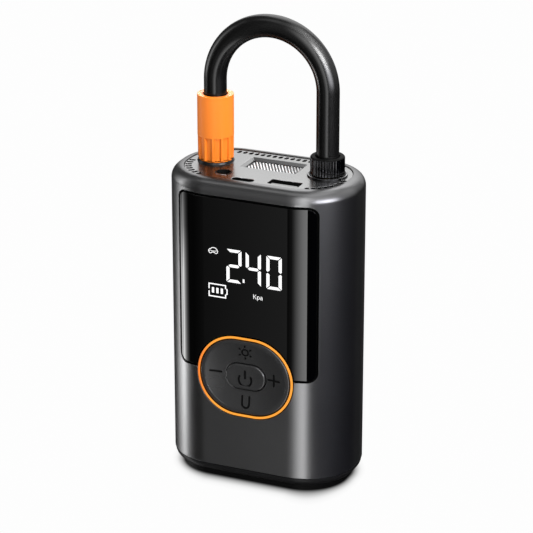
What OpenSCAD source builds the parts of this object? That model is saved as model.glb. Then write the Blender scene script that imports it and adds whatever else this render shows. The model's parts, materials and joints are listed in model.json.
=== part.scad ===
// Portable tyre inflator with its filling hose parked on top as a carrying loop.
// Millimetres. +Z is up and the display and keypad face -Y.
// The origin is the centre of the foot, on the surface that the inflator stands on.

/* [Housing] */
// Width of the housing, side to side
body_w = 76; // [75:0.5:82]
// Depth of the housing, front to back
body_d = 45; // [44.5:0.5:50]
// Height from the standing surface to the top rim
body_h = 124; // [123:1:134]
// Corner radius of the housing seen from above
corner_r = 20.8; // [19:0.2:21.6]
// Wall thickness of the housing
wall = 2.2; // [1.9:0.1:2.4]
// Rounding of the top rim
rim_r = 4.7; // [3.5:0.1:4.9]
// Height of the rubber foot
foot_h = 3.2; // [1.8:0.1:3.8]
// Setback of the foot from the housing's side
foot_inset = 3.5; // [3.2:0.1:4.6]
// Height of the rounded band above the foot
band_h = 3.2; // [2.8:0.1:4.6]
// Setback of the band's lower edge
band_inset = 1.9; // [1.4:0.1:3.1]
// Height of the base cap's spigot inside the housing
spigot_h = 4; // [2.5:0.5:6]
// Thickness of the spigot
spigot_t = 1.4; // [1.2:0.1:1.5]

/* [Top plate] */
// Setback of the top plate from the housing's side
plate_inset = 5; // [4.95:0.05:5.4]
// Thickness of the top plate
plate_t = 2; // [1.6:0.1:2.4]
// How far the plate lies below the rim
plate_sink = 0.4; // [0.1:0.1:0.8]
// Width of the ledge that carries the plate
ledge_w = 1.6; // [1:0.1:1.8]
// Thickness of that ledge
ledge_t = 2; // [1.5:0.1:2.5]
// Width of a vent slot
vent_w = 1.2; // [0.8:0.1:1.5]
// Length of a vent slot
vent_len = 2.4; // [1.8:0.1:2.5]
// Setback of the curved rows' middles from the housing's side
vent_inset = 6.6; // [6.6:0.1:7.4]
// Setback of the back row's middle from the housing's back
vent_back_inset = 7.6; // [7:0.1:7.8]
// Vent slots in the back row
vent_back_count = 16; // [6:1:18]
// Vent slots in each curved row
vent_side_count = 8; // [4:1:9]
// Distance between neighbouring slots
vent_pitch = 2.5; // [2:0.1:2.6]

/* [Window] */
// Thickness of the display window
window_t = 1.1; // [0.8:0.1:1.3]
// Half of the window's width, seen from the front
window_half = 29.2; // [27:0.2:30]
// Height of the window's lower edge
window_low = 47; // [44:1:52]
// Height of the window's upper edge
window_high = 118.3; // [112:0.1:118.4]
// Corner radius of the window
window_r = 3.8; // [2:0.2:6]
// Half of the display opening's width behind the window
display_half = 17.6; // [17.2:0.1:18.4]
// Height of the display module
display_h = 34; // [28:1:38]
// Height of the display module's middle
display_mid = 86; // [84:1:88]

/* [Keypad] */
// Height of the keypad's middle
key_z = 45.7; // [44:0.1:47]
// Half of the light ring's width
ring_a = 20.4; // [19.8:0.1:21]
// Half of the light ring's height
ring_b = 16.9; // [16.3:0.1:17.4]
// Width of the light ring's band
ring_band = 1.3; // [1:0.1:1.5]
// How far the ring stands proud of the housing
ring_proud = 0.3; // [0.1:0.1:0.5]
// Width of the flat rim round the rocker's dish
dish_rim = 1.9; // [1.4:0.1:2.6]
// Depth of the rocker's dish
dish_depth = 1.1; // [0.6:0.1:1.3]
// Half of the power button's width
power_a = 8.3; // [7.8:0.1:8.6]
// Half of the power button's height
power_b = 5.2; // [4.9:0.1:5.4]
// Travel of the power button
power_travel = 0.35; // [0.2:0.05:0.4]
// Distance of the left and right switches from the middle
switch_x = 14.5; // [14:0.1:14.9]
// Distance of the upper and lower switches from the middle
switch_z = 12; // [11.6:0.1:12.2]

/* [Hose] */
// Outer diameter of the hose
hose_d = 8.8; // [8:0.2:9]
// Bore of the hose
hose_bore = 4.5; // [3.8:0.1:5]
// Distance of the hose's legs from the middle of the housing
hose_x = 23.3; // [22.5:0.1:24]
// Distance of the hose's legs behind the middle of the housing
hose_y = 2.8; // [2:0.1:3.6]
// Height at which the hose's bend begins
bend_z = 156; // [153:1:170]

/* [Chuck] */
// Diameter of the chuck's sleeve
chuck_d = 14.1; // [13.6:0.1:14.6]
// Height of the chuck's top end
chuck_top = 150.3; // [148:0.1:152]
// Height of the fluted grip
flute_h = 9.2; // [6:0.2:12]
// Flutes round the grip
flute_count = 12; // [8:1:16]
// Depth of a flute
flute_depth = 0.55; // [0.3:0.05:0.7]
// Diameter of the nose that enters the dock
nose_d = 12.6; // [12.4:0.1:12.8]
// Length of that nose
nose_len = 6; // [4:0.5:7]
// Radius of the chuck's bore for a tyre valve
valve_r = 3.9; // [3.7:0.05:4]
// Depth of that bore
valve_depth = 7; // [6:0.5:8]

/* [Coupling] */
// Diameter of the knurled nut
nut_d = 13.3; // [12.8:0.1:14]
// Height of the knurled nut
nut_h = 6.5; // [5.5:0.5:9]
// Ribs round the nut
nut_ribs = 36; // [24:1:44]
// Depth of the knurl
knurl_depth = 0.3; // [0.15:0.05:0.4]
// Radius of the outlet's socket
socket_r = 4.05; // [3.9:0.05:4.2]
// Diameter of the outlet's collar
collar_d = 15.6; // [14.8:0.2:16]
// Height of the outlet's collar
collar_h = 1; // [0.6:0.1:1.2]
// Depth of the outlet's socket below the plate's face
socket_depth = 9.6; // [8:0.2:10]

/* [Pump] */
// Thickness of the pump frame's plate
frame_t = 3; // [2.4:0.2:3.6]
// Module of the gear teeth
tooth_module = 0.6; // [0.6:0.01:0.62]
// Teeth on the motor's pinion
pinion_teeth = 12; // [11:1:13]
// Teeth on the drive gear
gear_teeth = 40; // [38:1:41]
// Thickness of the drive gear
gear_t = 4; // [3:0.5:4.5]
// Place of the drive gear, right of the middle
gear_x = 6; // [5.4:0.2:6.4]
// Radius of the crank
crank_r = 5.5; // [4.5:0.1:5.6]
// Bore of the cylinder
bore_d = 15; // [14:0.2:15.4]
// Wall of the cylinder's liner
liner_t = 1; // [0.8:0.1:1.2]
// Half width of the cylinder block
block_half = 9.5; // [9.3:0.1:10]
// Length of the connecting rod, crank pin to piston crown
rod_len = 27.5; // [27:0.1:28]
// Thickness of the connecting rod
rod_t = 3; // [2.4:0.2:3.4]
// Diameter of the air tube
tube_d = 4; // [3.4:0.2:4.4]
// Bore of the air tube
tube_bore = 2.4; // [2:0.1:2.6]

/* [Motor and battery] */
// Diameter of the motor
motor_d = 24.4; // [23:0.2:25]
// Length of the motor's can
motor_len = 30.8; // [28:0.2:34]
// Diameter of the motor's shaft
shaft_d = 2; // [1.8:0.1:2.3]
// Diameter of a battery cell
cell_d = 18.3; // [18:0.1:18.6]
// Length of a battery cell
cell_len = 65.2; // [65:0.1:66]
// Distance between the cells' axes
cell_pitch = 19; // [18.7:0.1:19.1]

/* [Boards and ports] */
// Thickness of the circuit boards
board_t = 1.6; // [1.2:0.2:1.6]
// Clear height between the port board and the top plate
port_h = 10; // [9:0.5:11]
// Place of the charging jack, left of the middle
jack_x = 14.2; // [13.8:0.1:14.6]
// Place of the charging jack, in front of the middle
jack_y = 9.9; // [9.6:0.1:10.2]
// Bore of the charging jack's barrel
jack_bore = 5.6; // [5.2:0.1:5.8]
// Width of the small port
port_c_w = 8.9; // [8.6:0.1:9.2]
// Height of the small port
port_c_h = 3.3; // [3:0.1:3.5]
// Width of the large port
port_a_w = 12.5; // [12.2:0.1:12.8]
// Height of the large port
port_a_h = 5.3; // [5:0.1:5.5]
// Width of the lamp's opening
lamp_w = 23.3; // [21:0.1:24]
// Depth of the lamp's opening, front to back
lamp_d = 12.4; // [11:0.1:12.6]

/* [Clearances] */
// Gap round pieces that drop into the housing
seat_gap = 0.1; // [0.05:0.01:0.15]
// Gap round keys and loose collars
loose_gap = 0.3; // [0.25:0.01:0.4]
// Radial running clearance of shafts
run_gap = 0.05; // [0.03:0.01:0.08]
// Backlash between the gear teeth
backlash = 0.16; // [0.12:0.01:0.24]

/* [Hidden] */
$fn = 64;
cut = 1;                 // how far a cutting solid runs past a face
deep = 200;              // longer than the object
half_w = body_w / 2;
half_d = body_d / 2;
corner = min(corner_r, half_d - 0.5);         // the corner arcs never pass the middle of a side
base_z = foot_h + band_h;                     // lower edge of the housing
plate_top = body_h - plate_sink;
plate_z = plate_top - plate_t;
ledge_z = plate_z - ledge_t;
back_face = half_d - wall;                    // inner faces of the front and back walls
band_top_inset = 0.2;
band_mid_z = foot_h + band_h * 0.45;           // where the band's slope changes
band_mid_inset = band_top_inset + (band_inset - band_top_inset) * 0.22;
foot_edge = 0.5;
arc_x = half_w - corner;                    // centres of the corner arcs
arc_y = half_d - corner;

// Screws
screw_r = 1.1;
screw_head_r = 2;
screw_head_h = 1.2;
front_screw_x = half_w - 13.6;
front_screw_y = half_d - 8.3;
back_screw_y = half_d - 6.9;
base_screw_places = [[-front_screw_x, -front_screw_y, 240], [front_screw_x, -front_screw_y, -60],
    [-14.2, back_screw_y, 90], [6.8, back_screw_y, 90]];
base_screw_len = 9;
screw_bite = 4;                               // how deep the board screws go into their posts
board_screw_bite = 2.5;
boss_r = 2.8;
boss_top = base_z + 13;

// Keypad, all depths measured back from the front face
front_y = -half_d;
ring_back_y = front_y + wall;
ring_in_a = ring_a - ring_band;
ring_in_b = ring_b - ring_band;
key_a = ring_in_a - loose_gap;
key_b = ring_in_b - loose_gap;
key_front_y = front_y - 0.1;
flange_out = 0.7;
key_gap_y = 0.75;                             // room behind the ring for the rocker's tilt
flange_y = ring_back_y + key_gap_y;
flange_t = 0.8;
key_back_y = flange_y + flange_t;
dish_a = key_a - dish_rim;
dish_b = key_b - dish_rim;
dish_ball = (dish_b * dish_b + dish_depth * dish_depth) / (2 * dish_depth);
power_front_y = key_front_y + 0.4;
power_hole_a = power_a + loose_gap - 0.03;
power_hole_b = power_b + loose_gap - 0.03;
power_flange = 0.8;
power_flange_t = 0.8;
power_flange_y = key_back_y - 0.95;
pocket_y = power_flange_y - 0.25;
tilt_y = key_back_y + 0.75;                   // the rocker's tilt axes
gimbal_t = 0.6;
gimbal_a = 9.8;
gimbal_b = 6.8;
gimbal_w = 1.2;
gimbal_pin_r = 0.4;
lug_x = 11;
post_off = 8;
lug_half = 0.8;
lug_hole_r = gimbal_pin_r + run_gap;
plunger_r = 1.5;
plunger_y = key_back_y + 0.7;
mat_front_y = plunger_y + 0.75;
mat_t = 0.5;
dome_h = 0.4;
dome_r = 1.6;
power_stem_y = mat_front_y - dome_h - power_travel - 0.05;
switch_t = 0.8;
switch_half = 1.9;
board_y = mat_front_y + mat_t + switch_t;     // front face of the control board
board_back_y = board_y + board_t;
board_half = 19;
board_low = base_z + 15.5;
board_boss_x = 15.5;
board_boss_low = board_low + 3.2;

// Ports and lamp, hung under the top plate
port_board_z = plate_z - port_h - board_t;
port_board_top = port_board_z + board_t;
board_high = port_board_z - 1;
board_boss_high = board_high - 2.6;
port_c_x = -4;
port_c_y = 7.6 - half_d;
port_a_x = 12.3;
port_a_y = 10.1 - half_d;
port_wall = 0.45;
post_r = 1.8;
post_places = [[-jack_x - 7.6, 0.5 - jack_y], [2.6, port_c_y + 6.7],
    [port_a_x + port_a_w / 2 + 3.05, port_a_y + 2.8]];
port_board_front = port_c_y - port_c_h / 2 - 1.65;
port_board_back = post_places[1][1] + 2 * post_r;
port_board_half = post_places[2][0] + post_r;
sensor_tab_w = 16;                            // the port board's tab that carries the pressure sensor
sensor_tab_d = 12;
sensor_half = 3.5;
jack_body_w = 8.4;
jack_body_d = 7.8;
port_c_tongue_w = port_c_w - 2.2;
port_a_tongue_w = port_a_w - 1.9;
lamp_y = 5.1;
lamp_bevel = 1.2;
lamp_bevel_h = 1.1;
lens_w = lamp_w - 2 * lamp_bevel;
lens_d = lamp_d - 2 * lamp_bevel;
lens_t = 2.6;
lens_top = plate_top - lamp_bevel_h;
lamp_frame_h = 5;
lamp_wall = 1.2;
lamp_board_z = plate_z - lamp_frame_h - 1.2;
led_h = 1.2;

// Hose, chuck and coupling
hose_r = hose_d / 2;
hose_in_r = hose_bore / 2;
chuck_r = chuck_d / 2;
nose_r = nose_d / 2;
dock_ring_h = 0.8;
dock_top = plate_top + dock_ring_h;
flute_z = dock_top + loose_gap;               // lower end of the fluted grip
chuck_z = flute_z - nose_len;                 // mouth of the chuck
flute_w = chuck_d * PI / flute_count * 0.6;
dock_bore_r = nose_r + 0.35;
dock_wall = 0.5;
dock_ring_r = chuck_r + 0.4;
dock_floor = 1.5;
dock_room = 4;                                // free depth under the parked chuck
core_r = nose_r - 0.9;
seal_r = valve_r + 0.6;
seal_t = 2;
chamber_z = chuck_z + valve_depth;             // end of the valve bore
seal_z = chamber_z + 0.3;
chamber_h = seal_t + 1.9;
journal_r = 3;
core_top = flute_z + 11.3;
barb_collar_h = 2.5;
barb_collar_gap = 0.4;
barb_collar_z = core_top + barb_collar_gap;
hose_low_left = barb_collar_z + barb_collar_h;
barb_len = 11;
barb_bore_r = 1.2;
collar_top = plate_top + collar_h;
nut_z = collar_top + loose_gap;
nut_top = nut_z + nut_h;
fit_collar_r = hose_r + 0.8;
fit_collar_h = 2;
fit_collar_z = nut_z + 0.3;
hose_low_right = fit_collar_z + fit_collar_h;
nut_bore_r = fit_collar_r + run_gap;
fit_stem_r = socket_r - run_gap;
fit_stem_z = plate_top - socket_depth + 0.6;
o_ring_r = 0.6;
groove_r = fit_stem_r - 2 * o_ring_r;
groove_h = 1.5;
o_ring_z = fit_stem_z + 3;
outlet_r = 6;
outlet_floor = 1.5;
outlet_z = plate_top - socket_depth - outlet_floor;
nipple_r = tube_bore / 2;
nipple_bore_r = 0.6;
nipple_h = 3;

// Battery, motor and pump, stacked on the base cap
tray_floor = 1.5;
tray_h = 9;
cell_z = base_z + tray_floor;
cell_top = cell_z + cell_len;
holder_t = 1.8;
holder_h = 8;
holder_wall = 1;
frame_z = cell_top + holder_t;
frame_top = frame_z + frame_t;
cell_y = 3.5;
cell_x_right = -4.7;
cell_x_left = cell_x_right - cell_pitch;
pinion_pitch_r = tooth_module * pinion_teeth / 2;
gear_pitch_r = tooth_module * gear_teeth / 2;
motor_x = gear_x + pinion_pitch_r + gear_pitch_r;
motor_r = motor_d / 2;
motor_z = frame_z - motor_len;
motor_wall = 1.4;
motor_screw_off = 8;                           // distance of the motor screws from the shaft
stand_low = 12;                               // height of the motor stand below its side windows
stand_high = 6;
stand_window_w = 12;
link_w = 4.4;                                 // width of the nickel strip across the cells
endcap_h = 4;
magnet_t = 2.2;
rotor_r = motor_r - motor_wall - magnet_t - 0.5;
gear_z = frame_top + 1.5;
gear_top = gear_z + gear_t;
crank_h = 2.2;
open_gap = 0.3;                               // clearance at the crank pin, where the linkage is open
crank_pin_r = 2;
rod_z = gear_top + crank_h + open_gap;
pump_z = rod_z + rod_t / 2;                   // height of the cylinder's axis
axle_r = 2;
bushing_r = 4.5;
axle_top = gear_top + crank_h - 0.4;
crank_x = gear_x + crank_r;                   // crank pin at rest, at the stroke's outer end
crown_x = crank_x - rod_len;                  // piston crown at rest
stroke = 2 * crank_r;
head_gap = 0.5;
block_left = crown_x - stroke - head_gap;
block_right = crown_x + 7.5;
liner_r = bore_d / 2 + liner_t;
piston_r = bore_d / 2 - 0.25;
cup_r = bore_d / 2 - run_gap;
piston_h = 5;
cup_t = 1.4;
big_end_r = 4;
head_t = 2.6;
reed_t = 0.4;                                 // thickness of the valve plate
screw_off = block_half - 1.6;                 // distance of the head screws from the axis
head_dome = 3.6;
head_dome_half = 6;
block_top = pump_z + block_half;
head_nipple_x = block_left - head_t - head_dome / 2;
tube_bend = 4.5;
tube_low = block_top;
tube_rise = 3.4;
tube_run_z = tube_low + tube_rise + tube_bend;
sensor_t = 2.4;
head_hole_len = 10;                            // the head screws' threads
head_bore_r = 1;                              // air passage across the head
tube_high = outlet_z;
fin_count = 4;
fin_gap = 1.6;
fin_depth = 1.8;

// ---- Shared shapes ----

module rounded_rect(w, d, r) {
    square([w - 2 * r, d], center = true);
    square([w, d - 2 * r], center = true);
    for (sx = [-1, 1], sy = [-1, 1])
        translate([sx * (w / 2 - r), sy * (d / 2 - r)]) circle(r);
}

module stadium(a, b) {
    square([2 * (a - b), 2 * b], center = true);
    for (s = [-1, 1])
        translate([s * (a - b), 0]) circle(b);
}

// The housing's outline drawn in by inset, from z0 to z1
module inset_prism(inset, z0, z1) {
    translate([0, 0, z0])
        linear_extrude(z1 - z0)
            rounded_rect(body_w - 2 * inset, body_d - 2 * inset, corner - inset);
}

// Children are drawn in X and Z and run from y0 back to y1
module along_y(y0, y1) {
    translate([0, y1, 0])
        rotate([90, 0, 0])
            linear_extrude(y1 - y0) children();
}

module tube(h, r_out, r_in) {
    difference() {
        cylinder(h = h, r = r_out);
        translate([0, 0, -cut]) cylinder(h = h + 2 * cut, r = r_in);
    }
}

// Half section of a rounded upper edge
module rim_section(half, f) {
    translate([-(half - f), 0]) square([2 * (half - f), f]);
    for (s = [-1, 1])
        intersection() {
            translate([s * (half - f), 0]) circle(f);
            translate([-half, 0]) square([2 * half, f]);
        }
}

module quarter_section(r, f) {
    square([r - f, f]);
    intersection() {
        translate([r - f, 0]) circle(f);
        square([r, f]);
    }
}

// The housing's outline from z0 to z1, with a rounded upper edge
module rounded_block(z0, z1, f) {
    inset_prism(0, z0, z1 - f);
    translate([0, 0, z1 - f]) {
        translate([-arc_x, 0, 0])
            rotate([90, 0, 90])
                linear_extrude(2 * arc_x) rim_section(half_d, f);
        translate([0, arc_y, 0])
            rotate([90, 0, 0])
                linear_extrude(2 * arc_y) rim_section(half_w, f);
        for (q = [[1, 1, 0], [-1, 1, 90], [-1, -1, 180], [1, -1, 270]])
            translate([q[0] * arc_x, q[1] * arc_y, 0])
                rotate([0, 0, q[2]])
                    rotate_extrude(angle = 90) quarter_section(corner, f);
    }
}

module slope_section(half, low, high, h) {
    polygon([[-(half - low), 0], [half - low, 0], [half - high, h], [-(half - high), h]]);
}

// The housing's outline with sloping sides, drawn in by low at z0 and by high at z1
module sloped_block(z0, z1, low, high) {
    h = z1 - z0;
    translate([0, 0, z0]) {
        translate([-arc_x, 0, 0])
            rotate([90, 0, 90])
                linear_extrude(2 * arc_x) slope_section(half_d, low, high, h);
        translate([0, arc_y, 0])
            rotate([90, 0, 0])
                linear_extrude(2 * arc_y) slope_section(half_w, low, high, h);
        for (sx = [-1, 1], sy = [-1, 1])
            translate([sx * arc_x, sy * arc_y, 0])
                cylinder(h = h, r1 = corner - low, r2 = corner - high);
    }
}

module at_leg(side) {
    translate([side * hose_x, hose_y, 0]) children();
}

module pan_screw(len) {
    translate([0, 0, -screw_head_h]) cylinder(h = screw_head_h, r = screw_head_r);
    cylinder(h = len, r = screw_r);
}

// ---- Housing ----

module window_outline(gap) {
    translate([0, (window_low + window_high) / 2])
        rounded_rect(2 * (window_half + gap), window_high - window_low + 2 * gap, window_r + gap);
}

module ring_outline(grow) {
    translate([0, key_z]) stadium(ring_a + grow, ring_b + grow);
}

module housing_shell() {
    color([0.2, 0.2, 0.21])
    difference() {
        union() {
            difference() {
                rounded_block(base_z, body_h, rim_r);
                inset_prism(wall, base_z - cut, ledge_z);
                inset_prism(plate_inset + ledge_w, ledge_z - cut, plate_z + cut);
                inset_prism(plate_inset - seat_gap, plate_z, body_h + cut);
                difference() {
                    along_y(front_y - cut, -arc_y) window_outline(seat_gap);
                    inset_prism(window_t, base_z, body_h);
                }
                along_y(front_y - cut, -arc_y)
                    translate([0, display_mid]) square([2 * display_half, display_h + 1], center = true);
            }
            base_bosses();
            board_bosses();
        }
        along_y(front_y - cut, -arc_y) ring_outline(0);
        for (p = base_screw_places)
            translate([p[0], p[1], base_z]) cylinder(h = boss_top - base_z - 2, r = screw_r);
        translate([port_c_x - port_c_w / 2 - 2, plate_inset + 0.2 - half_d, ledge_z - cut])
            cube([port_c_w + 4, 3, ledge_t + cut]);
        for (sx = [-1, 1], z = [board_boss_low, board_boss_high])
            translate([sx * board_boss_x, board_y, z])
                rotate([90, 0, 0]) cylinder(h = 3, r = screw_r);
    }
}

module base_bosses() {
    intersection() {
        inset_prism(wall - 0.4, base_z, body_h);
        for (p = base_screw_places)
            translate([p[0], p[1], base_z + spigot_h + 0.2]) {
                cylinder(h = boss_top - base_z - spigot_h - 0.2, r = boss_r);
                rotate([0, 0, p[2]])
                    translate([0, -1, 0]) cube([boss_r + 4, 2, boss_top - base_z - spigot_h - 0.2]);
            }
    }
}

module board_bosses() {
    for (sx = [-1, 1], z = [board_boss_low, board_boss_high])
        translate([sx * board_boss_x, board_y, z])
            rotate([90, 0, 0]) cylinder(h = board_y - ring_back_y + 0.4, r = 2.4);
}

module base_cap() {
    color([0.09, 0.09, 0.1])
    difference() {
        union() {
            sloped_block(foot_h, band_mid_z, band_inset, band_mid_inset);
            sloped_block(band_mid_z, base_z, band_mid_inset, band_top_inset);
            difference() {
                inset_prism(wall + seat_gap, base_z - cut, base_z + spigot_h);
                inset_prism(wall + seat_gap + spigot_t, base_z, base_z + spigot_h + cut);
            }
        }
        for (p = base_screw_places)
            translate([p[0], p[1], foot_h - cut]) {
                cylinder(h = deep, r = screw_r + seat_gap);
                cylinder(h = screw_head_h + cut, r = screw_head_r + seat_gap);
            }
    }
}

module foot_pad() {
    color([0.03, 0.03, 0.03]) {
        sloped_block(0, foot_edge, foot_inset + foot_edge, foot_inset);
        inset_prism(foot_inset, foot_edge, foot_h);
    }
}

module base_screws() {
    color([0.5, 0.5, 0.5])
    for (p = base_screw_places)
        translate([p[0], p[1], foot_h + screw_head_h]) pan_screw(base_screw_len);
}

module vent_slot() {
    translate([0, 0, plate_z - cut])
        linear_extrude(plate_t + 2 * cut) stadium(vent_len / 2, vent_w / 2);
}

// Place and direction of a slot in a curved row, s along the row from its front end
function vent_place(s) =
    let (r = corner - vent_inset, lead = r * 69 * PI / 180, turn = s < lead ? s : max(s - 2 * arc_y, lead),
        a = turn / r * 180 / PI - 69, side = min(max(s - lead, 0), 2 * arc_y))
    [arc_x + r * cos(a), side - arc_y + r * sin(a), a];

module vents() {
    for (i = [0 : vent_back_count - 1])
        translate([(i - (vent_back_count - 1) / 2) * vent_pitch, half_d - vent_back_inset, 0])
            rotate([0, 0, 90]) vent_slot();
    for (m = [0, 1], i = [0 : vent_side_count - 1])
        let (p = vent_place(i * vent_pitch))
            mirror([m, 0, 0])
                translate([p[0], p[1], 0])
                    rotate([0, 0, p[2]]) vent_slot();
}

module top_plate() {
    color([0.62, 0.62, 0.62])
    difference() {
        union() {
            inset_prism(plate_inset, plate_z, plate_top);
            for (p = post_places)
                translate([p[0], p[1], port_board_top]) cylinder(h = port_h + 0.5, r = post_r);
        }
        vents();
        at_leg(-1) translate([0, 0, plate_z - cut])
            cylinder(h = plate_t + 2 * cut, r = dock_bore_r + dock_wall);
        at_leg(1) translate([0, 0, plate_z - cut]) cylinder(h = plate_t + 2 * cut, r = outlet_r);
        translate([-jack_x, -jack_y, plate_z - cut])
            cylinder(h = plate_t + 2 * cut, r = jack_bore / 2 + port_wall);
        translate([port_c_x, port_c_y, plate_z - cut])
            linear_extrude(plate_t + 2 * cut) stadium(port_c_w / 2, port_c_h / 2);
        translate([port_a_x, port_a_y, plate_z - cut])
            linear_extrude(plate_t + 2 * cut) rounded_rect(port_a_w, port_a_h, 0.8);
        translate([0, lamp_y, plate_z - cut])
            linear_extrude(plate_t + 2 * cut) square([lens_w, lens_d], center = true);
        lamp_bevel_cut();
        for (p = post_places)
            translate([p[0], p[1], port_board_top - cut]) cylinder(h = 7, r = screw_r);
    }
}

// The sloping sides of the lamp's opening
module lamp_bevel_cut() {
    rise = lamp_bevel_h / lamp_bevel;
    over = 0.2;
    for (k = [[lamp_w, lamp_d, 0], [lamp_d, lamp_w, 90]])
        translate([0, lamp_y, lens_top])
            rotate([0, 0, k[2]])
                intersection() {
                    bevel_prism(k[0] / 2, k[1] / 2 + over, rise, over);
                    rotate([0, 0, 90]) bevel_prism(k[1] / 2, k[0] / 2 + over, rise, over);
                }
}

module bevel_prism(half, reach, rise, over) {
    translate([0, reach, 0])
        rotate([90, 0, 0])
            linear_extrude(2 * reach)
                polygon([[-(half - lamp_bevel), 0], [half - lamp_bevel, 0],
                    [half + over, lamp_bevel_h + over * rise], [-(half + over), lamp_bevel_h + over * rise]]);
}

// ---- Window and display ----

module display_window() {
    color([0.02, 0.02, 0.02])
    difference() {
        intersection() {
            along_y(front_y - cut, -arc_y) window_outline(0);
            inset_prism(0, base_z, body_h);
        }
        inset_prism(window_t, base_z - cut, body_h + cut);
        along_y(front_y - cut, 0) ring_outline(0);
    }
}

module display_module() {
    color([0.1, 0.1, 0.1])
    translate([0, 0, display_mid])
        difference() {
            translate([-(display_half - 0.4), front_y + window_t + 0.5, -display_h / 2])
                cube([2 * (display_half - 0.4), board_y - front_y - window_t - 0.5, display_h]);
            translate([-(display_half - 1.6), front_y + window_t, -display_h / 2 + 1.2])
                cube([2 * (display_half - 1.6), 1, display_h - 2.4]);
        }
}

module control_board() {
    color([0.05, 0.3, 0.15])
    difference() {
        translate([-board_half, board_y, board_low])
            cube([2 * board_half, board_t, board_high - board_low]);
        for (sx = [-1, 1], z = [board_boss_low, board_boss_high])
            translate([sx * board_boss_x, board_back_y + cut, z])
                rotate([90, 0, 0]) cylinder(h = board_t + 2 * cut, r = screw_r);
    }
}

module board_screws() {
    color([0.6, 0.6, 0.6])
    for (sx = [-1, 1], z = [board_boss_low, board_boss_high])
        translate([sx * board_boss_x, board_back_y, z])
            rotate([90, 0, 0]) pan_screw(board_t + board_screw_bite);
}

// ---- Keypad ----

module keypad_ring() {
    color([1, 0.55, 0.15])
    difference() {
        intersection() {
            along_y(front_y - cut, ring_back_y) ring_outline(0);
            inset_prism(-ring_proud, base_z, body_h);
        }
        along_y(front_y - 2 * cut, ring_back_y + cut)
            translate([0, key_z]) stadium(ring_in_a, ring_in_b);
    }
}

// A slice of the rocker's upper part, with its part of the dish cut out
module rocker_slice(x0, x1, ball_x, round) {
    mid_y = key_front_y + dish_depth - dish_ball;
    difference() {
        intersection() {
            along_y(key_front_y, flange_y) translate([0, key_z]) stadium(key_a, key_b);
            translate([x0, key_front_y - cut, 0]) cube([x1 - x0, deep, deep]);
        }
        if (round)
            translate([ball_x, mid_y, key_z]) sphere(dish_ball, $fn = 128);
        else
            translate([x0 - cut, mid_y, key_z])
                rotate([0, 90, 0]) cylinder(h = x1 - x0 + 2 * cut, r = dish_ball, $fn = 128);
    }
}

module rocker_key() {
    ends = dish_a - dish_b;
    color([0.16, 0.16, 0.17])
    difference() {
        union() {
            rocker_slice(-key_a - cut, -ends, -ends, true);
            rocker_slice(-ends, ends, 0, false);
            rocker_slice(ends, key_a + cut, ends, true);
            along_y(flange_y, key_back_y)
                translate([0, key_z]) stadium(key_a + flange_out, key_b + flange_out);
            for (p = switch_places())
                along_y(key_back_y, plunger_y) translate([p[0], key_z + p[1]]) circle(plunger_r);
            for (s = [-1, 1])
                translate([s * lug_x - lug_half, key_back_y - 0.1, key_z - lug_half])
                    cube([2 * lug_half, tilt_y - key_back_y + lug_half + 0.1, 2 * lug_half]);
        }
        along_y(key_front_y - cut, key_back_y + cut)
            translate([0, key_z]) stadium(power_hole_a, power_hole_b);
        along_y(pocket_y, key_back_y + cut)
            translate([0, key_z])
                stadium(power_a + power_flange + loose_gap, power_b + power_flange + loose_gap);
        for (s = [-1, 1])
            along_y(key_back_y - 0.7, key_back_y + cut)
                translate([0, key_z + s * post_off]) square(2 * lug_half + 1, center = true);
        for (s = [-1, 1])
            translate([s * lug_x - 2, tilt_y, key_z]) rotate([0, 90, 0]) cylinder(h = 4, r = lug_hole_r);
    }
}

function switch_places() = [[-switch_x, 0], [switch_x, 0], [0, switch_z], [0, -switch_z]];

module key_gimbal() {
    side_pin = lug_x + lug_half + 0.5 - gimbal_a;
    upper_pin = post_off + lug_half + 0.5 - gimbal_b;
    color([0.75, 0.75, 0.7])
    translate([0, 0, key_z]) {
        along_y(tilt_y - gimbal_t / 2, tilt_y + gimbal_t / 2)
            difference() {
                stadium(gimbal_a, gimbal_b);
                stadium(gimbal_a - gimbal_w, gimbal_b - gimbal_w);
            }
        for (s = [-1, 1]) {
            translate([s * (gimbal_a - 0.3), tilt_y, 0])
                rotate([0, s * 90, 0]) cylinder(h = side_pin, r = gimbal_pin_r);
            translate([0, tilt_y, s * (gimbal_b - 0.3)])
                rotate([90 - s * 90, 0, 0]) cylinder(h = upper_pin, r = gimbal_pin_r);
        }
    }
}

module power_button() {
    color([0.15, 0.15, 0.16])
    translate([0, 0, key_z]) {
        along_y(power_front_y, power_flange_y) stadium(power_a, power_b);
        along_y(power_flange_y, power_flange_y + power_flange_t)
            stadium(power_a + power_flange, power_b + power_flange);
        along_y(power_flange_y + power_flange_t, power_stem_y) stadium(3.6, 2.2);
    }
}

module key_mat() {
    color([0.35, 0.35, 0.36])
    translate([0, 0, key_z])
        difference() {
            union() {
                along_y(mat_front_y, mat_front_y + mat_t) stadium(key_a - 1.8, key_b - 1.3);
                for (p = concat([[0, 0]], switch_places()))
                    along_y(mat_front_y - dome_h, mat_front_y) translate(p) circle(dome_r);
            }
            for (p = [[-lug_x, 0], [lug_x, 0], [0, -post_off], [0, post_off]])
                along_y(mat_front_y - cut, mat_front_y + mat_t + cut)
                    translate(p) square(2 * lug_half + 0.6, center = true);
        }
}

module key_switches() {
    color([0.7, 0.7, 0.68])
    translate([0, 0, key_z])
        for (p = concat([[0, 0]], switch_places()))
            along_y(mat_front_y + mat_t, board_y)
                translate(p) square(2 * switch_half, center = true);
}

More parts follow.
